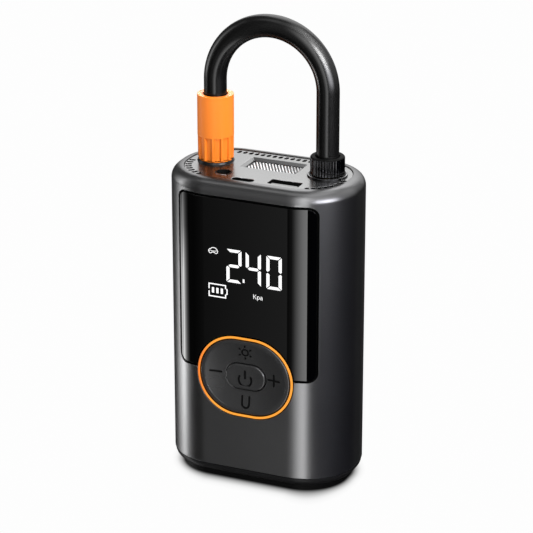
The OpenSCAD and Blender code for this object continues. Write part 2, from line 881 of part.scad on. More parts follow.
module key_posts() {
    color([0.3, 0.3, 0.3])
    for (s = [-1, 1])
        translate([0, 0, key_z + s * post_off])
            difference() {
                translate([-lug_half, tilt_y - lug_half, -lug_half])
                    cube([2 * lug_half, board_y - tilt_y + lug_half, 2 * lug_half]);
                translate([0, tilt_y, -2]) cylinder(h = 4, r = lug_hole_r);
            }
}

// ---- Ports and lamp ----

module port_board() {
    color([0.05, 0.3, 0.15])
    difference() {
        translate([0, 0, port_board_z])
            linear_extrude(board_t) {
                translate([-port_board_half, port_board_front])
                    square([2 * port_board_half, port_board_back - port_board_front]);
                translate([-sensor_tab_w / 2, port_board_back - cut])
                    square([sensor_tab_w, sensor_tab_d + cut]);
            }
        for (p = post_places)
            translate([p[0], p[1], port_board_z - cut]) cylinder(h = board_t + 2 * cut, r = screw_r);
    }
}

module port_screws() {
    color([0.6, 0.6, 0.6])
    for (p = post_places)
        translate([p[0], p[1], port_board_z]) pan_screw(board_t + screw_bite);
}

module charging_jack() {
    color([0.55, 0.55, 0.55])
    translate([-jack_x, -jack_y, port_board_top]) {
        difference() {
            union() {
                translate([-jack_body_w / 2, -jack_body_d / 2, 0]) cube([jack_body_w, jack_body_d, port_h]);
                cylinder(h = port_h + plate_t + 0.1, r = jack_bore / 2 + port_wall);
            }
            translate([0, 0, 1.5]) cylinder(h = deep, r = jack_bore / 2);
        }
        cylinder(h = port_h - 2, r = 1);
    }
}

module small_port() {
    color([0.6, 0.6, 0.6])
    translate([port_c_x, port_c_y, port_board_top]) {
        difference() {
            linear_extrude(port_h) stadium(port_c_w / 2 + port_wall, port_c_h / 2 + port_wall);
            translate([0, 0, 1.2]) linear_extrude(port_h) stadium(port_c_w / 2, port_c_h / 2);
        }
        translate([-port_c_tongue_w / 2, -0.35, 1]) cube([port_c_tongue_w, 0.7, port_h - 1.8]);
    }
}

module large_port() {
    color([0.6, 0.6, 0.6])
    translate([port_a_x, port_a_y, port_board_top]) {
        difference() {
            linear_extrude(port_h) rounded_rect(port_a_w + 2 * port_wall, port_a_h + 2 * port_wall, 1);
            translate([0, 0, 1.5]) linear_extrude(port_h) rounded_rect(port_a_w, port_a_h, 0.8);
        }
        translate([-port_a_tongue_w / 2, -1.9, 1])
            cube([port_a_tongue_w, 1.8, port_h + plate_t - 1.6]);
    }
}

module lamp_lens() {
    color([0.92, 0.93, 0.9])
    translate([-lens_w / 2, lamp_y - lens_d / 2, lens_top - lens_t]) cube([lens_w, lens_d, lens_t]);
}

module lamp_frame() {
    frame_low = plate_z - lamp_frame_h;
    color([0.85, 0.85, 0.85])
    difference() {
        translate([0, lamp_y, frame_low])
            linear_extrude(lamp_frame_h)
                square([lens_w + 2 * lamp_wall, lens_d + 2 * lamp_wall], center = true);
        translate([0, lamp_y, lens_top - lens_t])
            linear_extrude(deep) square([lens_w, lens_d], center = true);
        translate([0, lamp_y, frame_low - cut])
            linear_extrude(deep) square([lens_w - 1.6, lens_d - 1.6], center = true);
    }
}

module lamp_board() {
    color([0.9, 0.9, 0.85]) {
        translate([0, lamp_y, lamp_board_z])
            linear_extrude(1.2) square([lens_w + 2 * lamp_wall, lens_d + 2 * lamp_wall], center = true);
        for (i = [-1, 0, 1])
            translate([i * 6 - 1.4, lamp_y - 1.4, lamp_board_z + 1.2]) cube([2.8, 2.8, led_h]);
    }
}

// ---- Dock and outlet ----

module chuck_dock() {
    dock_z = chuck_z - dock_room - dock_floor;
    color([0.08, 0.09, 0.1])
    at_leg(-1)
        difference() {
            union() {
                translate([0, 0, dock_z]) cylinder(h = plate_top - dock_z, r = dock_bore_r + dock_wall);
                translate([0, 0, plate_top])
                    cylinder(h = dock_ring_h, r1 = dock_ring_r, r2 = dock_ring_r - 0.3);
            }
            translate([0, 0, dock_z + dock_floor]) cylinder(h = deep, r = dock_bore_r);
        }
}

module air_outlet() {
    edge = 0.5;
    color([0.7, 0.7, 0.7])
    at_leg(1)
        difference() {
            union() {
                translate([0, 0, outlet_z]) cylinder(h = plate_top - outlet_z, r = outlet_r);
                translate([0, 0, plate_top]) cylinder(h = collar_h - edge, r = collar_d / 2);
                translate([0, 0, collar_top - edge])
                    cylinder(h = edge, r1 = collar_d / 2, r2 = collar_d / 2 - edge);
                translate([0, 0, outlet_z - nipple_h]) cylinder(h = nipple_h, r = nipple_r);
            }
            translate([0, 0, outlet_z + outlet_floor]) cylinder(h = deep, r = socket_r);
            translate([0, 0, outlet_z - nipple_h - cut]) cylinder(h = deep, r = nipple_bore_r);
        }
}

// ---- Hose, chuck and coupling ----

module hose() {
    color([0.05, 0.05, 0.05]) {
        at_leg(-1) translate([0, 0, hose_low_left]) tube(bend_z - hose_low_left, hose_r, hose_in_r);
        at_leg(1) translate([0, 0, hose_low_right]) tube(bend_z - hose_low_right, hose_r, hose_in_r);
        translate([0, hose_y, bend_z])
            rotate([90, 0, 0])
                rotate_extrude(angle = 180)
                    translate([hose_x, 0]) difference() {
                        circle(hose_r);
                        circle(hose_in_r);
                    }
    }
}

module hose_barb() {
    color([0.75, 0.6, 0.3])
    at_leg(-1)
        difference() {
            union() {
                translate([0, 0, seal_z + seal_t + 0.3]) cylinder(h = 1, r = valve_r - 0.2);
                translate([0, 0, seal_z + seal_t + 0.3])
                    cylinder(h = barb_collar_z - seal_z - seal_t - 0.3, r = journal_r);
                translate([0, 0, barb_collar_z]) cylinder(h = barb_collar_h, r = hose_r - 0.2);
                translate([0, 0, hose_low_left]) cylinder(h = barb_len, r = hose_in_r);
            }
            translate([0, 0, seal_z]) cylinder(h = deep, r = barb_bore_r);
        }
}

module chuck_core() {
    color([0.8, 0.65, 0.3])
    at_leg(-1)
        difference() {
            translate([0, 0, chuck_z]) cylinder(h = core_top - chuck_z, r = core_r);
            translate([0, 0, chuck_z - cut]) cylinder(h = valve_depth + 2 * cut, r = valve_r);
            translate([0, 0, chamber_z]) cylinder(h = chamber_h, r = seal_r);
            translate([0, 0, chamber_z]) cylinder(h = deep, r = journal_r + run_gap);
        }
}

module chuck_seal() {
    color([0.1, 0.1, 0.1])
    at_leg(-1) translate([0, 0, seal_z]) tube(seal_t, seal_r, 1.6);
}

module valve_pin() {
    disc_z = seal_z + seal_t + 0.6;
    color([0.8, 0.7, 0.4])
    at_leg(-1) {
        translate([0, 0, seal_z + 0.1]) cylinder(h = disc_z - seal_z, r = 0.6);
        translate([0, 0, disc_z])
            difference() {
                cylinder(h = 0.7, r = barb_bore_r);
                for (a = [0, 120, 240])
                    rotate([0, 0, a]) translate([barb_bore_r, 0, -cut]) cylinder(h = 3, r = 0.4);
            }
    }
}

module chuck_sleeve() {
    edge = 0.5;
    color([1, 0.5, 0.12])
    at_leg(-1)
        difference() {
            union() {
                translate([0, 0, chuck_z]) cylinder(h = flute_z - chuck_z, r = nose_r);
                translate([0, 0, flute_z]) cylinder(h = chuck_top - edge - flute_z, r = chuck_r);
                translate([0, 0, chuck_top - edge])
                    cylinder(h = edge, r1 = chuck_r, r2 = chuck_r - edge);
            }
            translate([0, 0, chuck_z - cut]) cylinder(h = core_top - chuck_z + cut, r = core_r);
            translate([0, 0, core_top - cut]) cylinder(h = deep, r = hose_r + 0.4);
            for (i = [0 : flute_count - 1])
                rotate([0, 0, (i + 0.5) * 360 / flute_count])
                    translate([chuck_r - flute_depth, -flute_w / 2, flute_z - cut])
                        cube([2, flute_w, flute_h + cut]);
        }
}

module hose_fitting() {
    color([0.75, 0.6, 0.3])
    at_leg(1)
        difference() {
            union() {
                translate([0, 0, fit_stem_z]) cylinder(h = fit_collar_z - fit_stem_z, r = fit_stem_r);
                translate([0, 0, fit_collar_z]) cylinder(h = fit_collar_h, r = fit_collar_r);
                translate([0, 0, hose_low_right]) cylinder(h = barb_len, r = hose_in_r);
            }
            translate([0, 0, fit_stem_z - cut]) cylinder(h = deep, r = barb_bore_r);
            translate([0, 0, o_ring_z - groove_h / 2]) tube(groove_h, fit_stem_r + cut, groove_r);
        }
}

module outlet_seal() {
    color([0.05, 0.05, 0.05])
    at_leg(1)
        translate([0, 0, o_ring_z])
            rotate_extrude() translate([groove_r + o_ring_r, 0]) circle(o_ring_r);
}

module coupling_nut() {
    edge = 0.5;
    nut_r = nut_d / 2;
    color([0.06, 0.06, 0.06])
    at_leg(1)
        difference() {
            union() {
                translate([0, 0, nut_z])
                    linear_extrude(nut_h - edge)
                        polygon([for (i = [0 : 4 * nut_ribs - 1])
                            let (a = i * 90 / nut_ribs, r = nut_r - (i % 4 < 2 ? 0 : knurl_depth))
                                [r * cos(a), r * sin(a)]]);
                translate([0, 0, nut_top - edge])
                    cylinder(h = edge, r1 = nut_r - knurl_depth, r2 = nut_r - knurl_depth - edge);
            }
            translate([0, 0, nut_z - cut]) cylinder(h = hose_low_right + 0.3 - nut_z + cut, r = nut_bore_r);
            translate([0, 0, nut_z - cut]) cylinder(h = deep, r = hose_r + 0.3);
        }
}

// ---- Battery ----

module cell_circles(r) {
    for (x = [cell_x_left, cell_x_right])
        translate([x, cell_y]) circle(r);
}

module holder_outline() {
    cell_circles(cell_d / 2 + holder_wall);
    translate([(cell_x_left + cell_x_right) / 2, cell_y]) square([cell_pitch, cell_d * 0.8], center = true);
}

module battery_tray() {
    color([0.25, 0.25, 0.26])
    difference() {
        translate([0, 0, base_z]) linear_extrude(tray_h) holder_outline();
        translate([0, 0, cell_z]) linear_extrude(tray_h) cell_circles(cell_d / 2);
    }
}

module battery_holder() {
    color([0.25, 0.25, 0.26])
    difference() {
        translate([0, 0, frame_z - holder_h]) linear_extrude(holder_h) holder_outline();
        translate([0, 0, frame_z - holder_h - cut])
            linear_extrude(holder_h - holder_t + cut) cell_circles(cell_d / 2);
        translate([(cell_x_left + cell_x_right) / 2, cell_y, cell_top - cut])
            linear_extrude(cut + 0.3) square([cell_pitch + 5, 5], center = true);
    }
}

module cell(x) {
    translate([x, cell_y, cell_z]) {
        cylinder(h = cell_len - 0.8, r = cell_d / 2);
        cylinder(h = cell_len, r = 3);
    }
}

module cell_left() {
    color([0.15, 0.4, 0.7]) cell(cell_x_left);
}

module cell_right() {
    color([0.15, 0.4, 0.7]) cell(cell_x_right);
}

module cell_links() {
    color([0.75, 0.75, 0.72])
    translate([(cell_x_left + cell_x_right) / 2, cell_y, cell_top])
        linear_extrude(0.3) square([cell_pitch + link_w, link_w], center = true);
}

// ---- Motor ----

module at_motor(z) {
    translate([motor_x, hose_y, z]) children();
}

module motor_stand() {
    color([0.25, 0.25, 0.26])
    difference() {
        intersection() {
            at_motor(base_z) cylinder(h = motor_z + endcap_h - base_z, r = motor_r + 1);
            inset_prism(wall + seat_gap + spigot_t + 0.1, base_z, motor_z + endcap_h);
        }
        at_motor(base_z - cut) cylinder(h = deep, r = motor_r - 2);
        at_motor(motor_z) cylinder(h = deep, r = motor_r);
        at_motor(base_z + stand_low)
            translate([-deep / 2, -stand_window_w / 2, 0])
                cube([deep, stand_window_w, motor_z - base_z - stand_low - stand_high]);
    }
}

module motor_can() {
    color([0.7, 0.7, 0.7])
    difference() {
        at_motor(motor_z + endcap_h) cylinder(h = motor_len - endcap_h, r = motor_r);
        at_motor(motor_z) cylinder(h = motor_len - motor_wall, r = motor_r - motor_wall);
        at_motor(motor_z) cylinder(h = deep, r = shaft_d / 2 + run_gap);
        for (s = [-1, 1])
            at_motor(frame_z - 2) translate([0, s * motor_screw_off, 0]) cylinder(h = 3, r = screw_r);
    }
}

module motor_magnets() {
    outer = motor_r - motor_wall;
    color([0.2, 0.2, 0.2])
    for (s = [-1, 1])
        at_motor(motor_z + endcap_h + 2)
            intersection() {
                tube(motor_len - endcap_h - 6, outer, outer - magnet_t);
                translate([s * outer - outer * 0.6, -outer, 0]) cube([outer * 1.2, 2 * outer, deep]);
            }
}

module motor_endcap() {
    color([0.15, 0.15, 0.15])
    difference() {
        union() {
            at_motor(motor_z) cylinder(h = endcap_h, r = motor_r);
            at_motor(motor_z + endcap_h) cylinder(h = 2, r = motor_r - motor_wall);
        }
        at_motor(motor_z + 1) cylinder(h = deep, r = shaft_d / 2 + run_gap);
        at_motor(motor_z + 3) cylinder(h = deep, r = motor_r - motor_wall - 2);
    }
}

module motor_shaft() {
    color([0.8, 0.8, 0.8])
    at_motor(motor_z + 1.2) cylinder(h = gear_top + 0.6 - motor_z - 1.2, r = shaft_d / 2);
}

module rotor() {
    rotor_z = motor_z + endcap_h + 2.6;
    rotor_h = motor_len - endcap_h - 7;
    color([0.7, 0.35, 0.15])
    difference() {
        at_motor(rotor_z) {
            cylinder(h = rotor_h, r = rotor_r * 0.62);
            for (a = [0, 120, 240])
                rotate([0, 0, a])
                    linear_extrude(rotor_h)
                        intersection() {
                            circle(rotor_r);
                            translate([rotor_r * 0.4, -rotor_r * 0.55]) square([rotor_r, rotor_r * 1.1]);
                        }
        }
        at_motor(motor_z) cylinder(h = deep, r = shaft_d / 2);
    }
}

module motor_screws() {
    color([0.6, 0.6, 0.6])
    for (s = [-1, 1])
        at_motor(frame_top) translate([0, s * motor_screw_off, 0]) rotate([180, 0, 0]) pan_screw(frame_t + 1.6);
}

// ---- Gears ----

function involute_angle(base, r) = let (t = sqrt(max(r * r / (base * base) - 1, 0))) t * 180 / PI - atan(t);

// One tooth's flank from root to tip, as angle and radius, thinned by the backlash
function flank(teeth, r_pitch, r_root, r_tip, thin) =
    let (base = r_pitch * cos(20), half = 90 / teeth - thin / r_pitch * 90 / PI,
        start = half + involute_angle(base, r_pitch))
    [for (k = [0 : 4]) let (r = max(base, r_root) + (r_tip - max(base, r_root)) * k / 4)
        [start - involute_angle(base, r), r]];

module gear_outline(teeth, thin) {
    r_pitch = tooth_module * teeth / 2;
    r_root = r_pitch - 1.2 * tooth_module;
    r_tip = r_pitch + 0.9 * tooth_module;
    side = flank(teeth, r_pitch, r_root, r_tip, thin);
    foot_a = side[0][0];
    polygon([for (i = [0 : teeth - 1]) let (mid = i * 360 / teeth)
        each concat(
            [[r_root * cos(mid - foot_a), r_root * sin(mid - foot_a)]],
            [for (p = side) [p[1] * cos(mid - p[0]), p[1] * sin(mid - p[0])]],
            [for (k = [4 : -1 : 0]) [side[k][1] * cos(mid + side[k][0]), side[k][1] * sin(mid + side[k][0])]],
            [[r_root * cos(mid + foot_a), r_root * sin(mid + foot_a)]])]);
}

module pinion() {
    color([0.8, 0.8, 0.8])
    difference() {
        at_motor(gear_z) rotate([0, 0, 180 + 180 / pinion_teeth])
            linear_extrude(gear_t) gear_outline(pinion_teeth, backlash / 2);
        at_motor(gear_z - cut) cylinder(h = deep, r = shaft_d / 2);
    }
}

module at_gear(z) {
    translate([gear_x, hose_y, z]) children();
}

module drive_gear() {
    color([0.85, 0.82, 0.7])
    difference() {
        union() {
            at_gear(gear_z) linear_extrude(gear_t) gear_outline(gear_teeth, backlash / 2);
            at_gear(gear_z) translate([crank_r, 0, 0]) cylinder(h = gear_t + crank_h, r = crank_pin_r);
            at_gear(gear_top - 0.2)
                linear_extrude(crank_h) difference() {
                    circle(gear_pitch_r - 1.6);
                    circle(bushing_r + 1);
                    translate([-2.5, -deep / 2]) square([deep, deep]);
                }
        }
        at_gear(gear_z - cut) cylinder(h = gear_t + cut, r = bushing_r);
        at_gear(gear_z) cylinder(h = deep, r = bushing_r - 0.8);
    }
}

module gear_bushing() {
    color([0.75, 0.75, 0.78])
    at_gear(gear_z) tube(gear_t, bushing_r, axle_r + run_gap);
}

module gear_axle() {
    color([0.8, 0.8, 0.82]) {
        at_gear(frame_z) cylinder(h = axle_top - frame_z, r = axle_r);
        at_gear(frame_top) cylinder(h = gear_z - frame_top - 0.1, r = axle_r + 1);
    }
}

// ---- Pump ----

module pump_frame() {
    block_len = block_right - block_left;
    color([0.6, 0.6, 0.62])
    difference() {
        union() {
            translate([0, 0, frame_z])
                linear_extrude(frame_t) {
                    translate([(gear_x + motor_x) / 2, hose_y])
                        rounded_rect(motor_x - gear_x + 2 * motor_r, 2 * motor_r, 10);
                    translate([block_left, hose_y - block_half])
                        square([gear_x - block_left, 2 * block_half]);
                }
            translate([block_left, hose_y - block_half, frame_z])
                cube([block_len, 2 * block_half, block_top - frame_z]);
        }
        translate([block_left - cut, hose_y, pump_z])
            rotate([0, 90, 0]) cylinder(h = block_len + 2 * cut, r = liner_r);
        for (i = [1 : fin_count])
            translate([block_left + i * block_len / (fin_count + 1) - fin_gap / 2, 0, pump_z - liner_r])
                fin_slot();
        at_gear(frame_z - cut) cylinder(h = deep, r = axle_r);
        at_motor(frame_z - cut) cylinder(h = frame_t + 2 * cut, r = pinion_pitch_r + 1.4);
        for (s = [-1, 1])
            at_motor(frame_z - cut) translate([0, s * motor_screw_off, 0]) cylinder(h = frame_t + 2 * cut, r = screw_r);
        for (s = [-1, 1], t = [-1, 1])
            translate([block_left - cut, hose_y + s * screw_off, pump_z + t * screw_off])
                rotate([0, 90, 0]) cylinder(h = 5, r = 0.8);
    }
}

// Cooling slots across the top and both sides of the cylinder block
module fin_slot() {
    high = block_top - pump_z + liner_r;
    for (s = [-1, 1])
        translate([0, hose_y + s * (block_half - fin_depth / 2 + cut / 2) - (fin_depth + cut) / 2, 3])
            cube([fin_gap, fin_depth + cut, high]);
    translate([0, hose_y - block_half - cut, high - 1])
        cube([fin_gap, 2 * (block_half + cut), 1 + cut]);
}

module cylinder_liner() {
    color([0.8, 0.8, 0.8])
    translate([block_left, hose_y, pump_z])
        rotate([0, 90, 0]) tube(block_right - block_left, liner_r, bore_d / 2);
}

module valve_plate() {
    color([0.7, 0.72, 0.75])
    translate([block_left - reed_t, hose_y, pump_z])
        rotate([0, 90, 0])
            difference() {
                translate([-block_half, -block_half, 0]) cube([2 * block_half, 2 * block_half, 0.4]);
                translate([0, 0, -cut]) cylinder(h = 3, r = 1);
                for (s = [-1, 1], t = [-1, 1])
                    translate([s * screw_off, t * screw_off, -cut])
                        cylinder(h = 3, r = 0.8);
            }
}

module cylinder_head() {
    flange_x = block_left - reed_t - head_t;
    color([0.55, 0.55, 0.57])
    difference() {
        union() {
            translate([flange_x, hose_y - block_half, pump_z - block_half])
                cube([head_t, 2 * block_half, 2 * block_half]);
            translate([flange_x - head_dome, hose_y - head_dome_half, pump_z - head_dome_half])
                cube([head_dome + cut, 2 * head_dome_half, block_top - pump_z + head_dome_half]);
            translate([head_nipple_x, hose_y, block_top - cut]) cylinder(h = nipple_h + cut, r = nipple_r);
        }
        translate([head_nipple_x, hose_y, pump_z]) cylinder(h = deep, r = nipple_bore_r);
        translate([head_nipple_x, hose_y, pump_z])
            rotate([0, 90, 0]) cylinder(h = head_t + block_right - block_left, r = head_bore_r);
        for (s = [-1, 1], t = [-1, 1])
            translate([flange_x - cut, hose_y + s * screw_off, pump_z + t * screw_off])
                rotate([0, 90, 0]) cylinder(h = head_hole_len, r = 0.8);
    }
}

module head_screws() {
    color([0.4, 0.4, 0.4])
    for (s = [-1, 1], t = [-1, 1])
        translate([block_left - reed_t - head_t, hose_y + s * screw_off, pump_z + t * screw_off])
            rotate([0, 90, 0]) {
                translate([0, 0, -1]) cylinder(h = 1, r = 1.5);
                cylinder(h = head_t + 0.4 + 3.5, r = 0.8);
            }
}

module piston_rod() {
    color([0.75, 0.75, 0.78])
    difference() {
        union() {
            translate([crown_x, hose_y, pump_z])
                rotate([0, 90, 0]) {
                    cylinder(h = 1, r = piston_r - 1.2);
                    translate([0, 0, cup_t]) cylinder(h = piston_h - cup_t, r = piston_r);
                    cylinder(h = piston_h, r = 3);
                }
            translate([crown_x + piston_h - 1, hose_y - 3, rod_z])
                cube([crank_x - crown_x - piston_h + 1 - 2, 6, rod_t]);
            translate([crank_x, hose_y, rod_z]) cylinder(h = rod_t, r = big_end_r);
        }
        translate([crank_x, hose_y, rod_z - cut]) cylinder(h = rod_t + 2 * cut, r = crank_pin_r + run_gap);
    }
}

module piston_cup() {
    color([0.1, 0.1, 0.1])
    translate([crown_x, hose_y, pump_z])
        rotate([0, 90, 0])
            difference() {
                cylinder(h = cup_t, r = cup_r);
                translate([0, 0, -cut]) cylinder(h = 1 + cut, r = piston_r - 1.2);
                translate([0, 0, -cut]) cylinder(h = 5, r = 3);
            }
}

// ---- Air path ----

module tube_elbow() {
    rotate([90, 0, 0])
        rotate_extrude(angle = 90)
            translate([tube_bend, 0]) difference() {
                circle(tube_d / 2);
                circle(tube_bore / 2);
            }
}

module air_tube() {
    left_x = head_nipple_x;
    right_x = hose_x;
    color([0.9, 0.9, 0.88])
    translate([0, hose_y, 0]) {
        translate([left_x, 0, tube_low]) tube(tube_run_z - tube_bend - tube_low, tube_d / 2, tube_bore / 2);
        translate([left_x + tube_bend, 0, tube_run_z - tube_bend])
            rotate([0, 0, 180]) mirror([0, 1, 0]) tube_elbow();
        translate([left_x + tube_bend, 0, tube_run_z])
            rotate([0, 90, 0]) tube(right_x - left_x - 2 * tube_bend, tube_d / 2, tube_bore / 2);
        translate([right_x - tube_bend, 0, tube_run_z + tube_bend]) rotate([0, 90, 0]) tube_elbow();
        translate([right_x, 0, tube_run_z + tube_bend])
            tube(tube_high - tube_run_z - tube_bend, tube_d / 2, tube_bore / 2);
    }
}

module pressure_sensor() {
    color([0.2, 0.2, 0.2])
    difference() {
        union() {
            translate([-sensor_half, hose_y - sensor_half, port_board_z - sensor_t])
                cube([2 * sensor_half, 2 * sensor_half, sensor_t]);
            translate([0, hose_y, tube_run_z]) cylinder(h = port_board_z - 2 - tube_run_z, r = 1.2);
        }
        translate([-sensor_half - cut, hose_y, tube_run_z])
            rotate([0, 90, 0]) cylinder(h = 2 * (sensor_half + cut), r = tube_d / 2);
    }
}

housing_shell();
base_cap();
foot_pad();
base_screws();
top_plate();
display_window();
display_module();
keypad_ring();
rocker_key();
key_gimbal();
power_button();
key_mat();
key_switches();
key_posts();
control_board();
board_screws();
port_board();
charging_jack();
small_port();
large_port();
port_screws();
lamp_lens();
lamp_frame();
lamp_board();
chuck_dock();
air_outlet();
hose();
hose_barb();
chuck_sleeve();
chuck_core();
chuck_seal();
valve_pin();
hose_fitting();
outlet_seal();
coupling_nut();
battery_tray();
battery_holder();
cell_left();
cell_right();
cell_links();
motor_stand();
motor_can();
motor_magnets();
motor_endcap();
rotor();
motor_shaft();
pinion();
motor_screws();
pump_frame();
cylinder_liner();
cylinder_head();
head_screws();
valve_plate();
piston_rod();
piston_cup();
drive_gear();
gear_bushing();
gear_axle();
air_tube();
pressure_sensor();
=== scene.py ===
import json
import math

import bpy
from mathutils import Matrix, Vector
from mathutils.geometry import delaunay_2d_cdt

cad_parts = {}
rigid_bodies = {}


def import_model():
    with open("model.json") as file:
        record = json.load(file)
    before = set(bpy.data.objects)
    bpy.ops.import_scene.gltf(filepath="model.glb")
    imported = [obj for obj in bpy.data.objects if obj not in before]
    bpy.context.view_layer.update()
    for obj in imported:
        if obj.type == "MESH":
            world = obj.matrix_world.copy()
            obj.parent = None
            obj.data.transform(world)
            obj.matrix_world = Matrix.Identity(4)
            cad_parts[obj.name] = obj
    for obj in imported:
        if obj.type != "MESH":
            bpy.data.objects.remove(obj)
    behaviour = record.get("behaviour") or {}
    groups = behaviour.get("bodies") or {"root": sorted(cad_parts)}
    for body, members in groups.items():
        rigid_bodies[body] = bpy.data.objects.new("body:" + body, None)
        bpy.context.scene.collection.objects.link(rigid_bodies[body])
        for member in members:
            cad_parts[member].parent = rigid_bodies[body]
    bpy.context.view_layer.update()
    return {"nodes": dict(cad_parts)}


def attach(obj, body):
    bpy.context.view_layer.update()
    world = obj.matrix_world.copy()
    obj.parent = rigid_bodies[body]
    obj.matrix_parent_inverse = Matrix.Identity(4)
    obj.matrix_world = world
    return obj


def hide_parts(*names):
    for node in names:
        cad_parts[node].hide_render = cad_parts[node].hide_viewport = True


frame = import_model()
nodes = frame["nodes"]
mm = 0.001
print("frame loaded", len(nodes), "nodes")

# The set is in metres and degrees; an azimuth of 0 is straight in front
cameraSet = {"azimuth": 23.726, "elevation": 22.04, "distance": 0.9906, "target": (0, 0, 0.062),
             "lens": 171.04, "sensor": 36, "shiftX": -0.003345, "shiftY": 0.09787, "nearest": 0.01}
lamps = {
    "overhead": {"azimuth": 160, "elevation": 72, "size": (0.9, 0.7), "power": 9.0},
    "key": {"azimuth": 62, "elevation": 44, "size": (0.5, 0.4), "power": 12.0, "distance": 1.0},
    "chuckBack": {"azimuth": -156, "elevation": 22, "size": (0.4, 0.4), "power": 12.0,
                  "target": (-0.0233, 0.0028, 0.15), "only": "chuckSleeve"},
    "hoseSoft": {"azimuth": 55, "elevation": 26, "size": (0.26, 0.26), "power": 42.0,
                 "target": (0.02, 0, 0.165), "only": "fillingHose"},
    "hoseHigh": {"azimuth": 80, "elevation": 50, "size": (0.5, 0.5), "power": 46.0,
                 "target": (0.02, 0, 0.165), "only": "fillingHose"}}


# Set something at a distance from a target, looking at it
def aim(name, data, azimuth, elevation, distance, target):
    obj = bpy.data.objects.new(name, data)
    bpy.context.scene.collection.objects.link(obj)
    az, el = math.radians(azimuth), math.radians(elevation)
    away = Vector((math.sin(az) * math.cos(el), -math.cos(az) * math.cos(el), math.sin(el)))
    obj.location = Vector(target) + away * distance
    obj.rotation_euler = away.to_track_quat("Z", "Y").to_euler()
    return obj


def addCamera():
    data = bpy.data.cameras.new("camera")
    data.sensor_width = cameraSet["sensor"]
    data.lens = cameraSet["lens"]
    data.shift_x = cameraSet["shiftX"]
    data.shift_y = cameraSet["shiftY"]
    data.clip_start = cameraSet["nearest"]
    place = [cameraSet[word] for word in ("azimuth", "elevation", "distance", "target")]
    bpy.context.scene.camera = aim("camera", data, *place)


# A lamp that nothing mirrors, or a lamp that lights and shows in one piece only
def addLamp(name):
    lamp = lamps[name]
    data = bpy.data.lights.new(name, "AREA")
    data.shape = "RECTANGLE"
    data.size, data.size_y = lamp["size"]
    data.energy = lamp["power"]
    obj = aim(name, data, lamp["azimuth"], lamp["elevation"], lamp.get("distance", 0.9),
              lamp.get("target", (0, 0, 0.09)))
    obj.visible_camera = False
    obj.visible_glossy = "only" in lamp
    if "only" in lamp:
        lit = bpy.data.collections.new(name + "Lit")
        lit.objects.link(bpy.data.objects[lamp["only"]])
        obj.light_linking.receiver_collection = lit


# Give a node its inputs: each is a value, or the socket that it is linked to
def feed(tree, node, inputs):
    for label, value in inputs.items():
        if isinstance(value, bpy.types.NodeSocket):
            tree.links.new(value, node.inputs[label])
        else:
            node.inputs[label].default_value = value


def addNode(tree, kind, inputs=None, **settings):
    node = tree.nodes.new("ShaderNode" + kind)
    for label, value in settings.items():
        setattr(node, label, value)
    feed(tree, node, inputs or {})
    return node


def spread(tree, value, fromLow, fromHigh, low=0.0, high=1.0, curve="LINEAR"):
    inputs = {"Value": value, "From Min": fromLow, "From Max": fromHigh, "To Min": low, "To Max": high}
    return addNode(tree, "MapRange", inputs, interpolation_type=curve).outputs[0]


# Two colours mixed, or two numbers; a colour is three numbers or a socket
def mix(tree, factor, a, b, kind="RGBA", blend="MIX"):
    a, b = [(*value, 1) if isinstance(value, tuple) else value for value in (a, b)]
    inputs = {"Factor": factor, "A": a, "B": b}
    return addNode(tree, "Mix", inputs, data_type=kind, blend_type=blend).outputs["Result"]


def makeSheetGlow():
    mat = bpy.data.materials.new("sheetGlow")
    mat.use_nodes = True
    tree = mat.node_tree
    tree.nodes.clear()
    painted = addNode(tree, "VertexColor", layer_name="glow")
    shine = addNode(tree, "Emission", {"Color": painted.outputs["Color"]})
    addNode(tree, "OutputMaterial", {0: shine.outputs[0]})
    return mat


sheetGlow = makeSheetGlow()


# A glowing sheet of the set, with its light painted on its corners
def addSheet(name, verts, faces, colours):
    mesh = bpy.data.meshes.new(name)
    mesh.from_pydata(verts, [], faces)
    glow = mesh.color_attributes.new("glow", "FLOAT_COLOR", "POINT")
    for i, colour in enumerate(colours):
        glow.data[i].color = (*colour, 1)
    mesh.materials.append(sheetGlow)
    obj = bpy.data.objects.new(name, mesh)
    bpy.context.scene.collection.objects.link(obj)
    return obj


def levelAt(stops, value):
    for (a, low), (b, high) in zip(stops, stops[1:]):
        if a <= value <= b:
            return low + (high - low) * (value - a) / (b - a)
    return 0.0


def fineStops(stops, step):
    fine = [stops[0][0]]
    for (a, low), (b, high) in zip(stops, stops[1:]):
        n = max(math.ceil((b - a) / step), 1)
        fine += [a + (b - a) * i / n for i in range(1, n + 1)]
    return fine


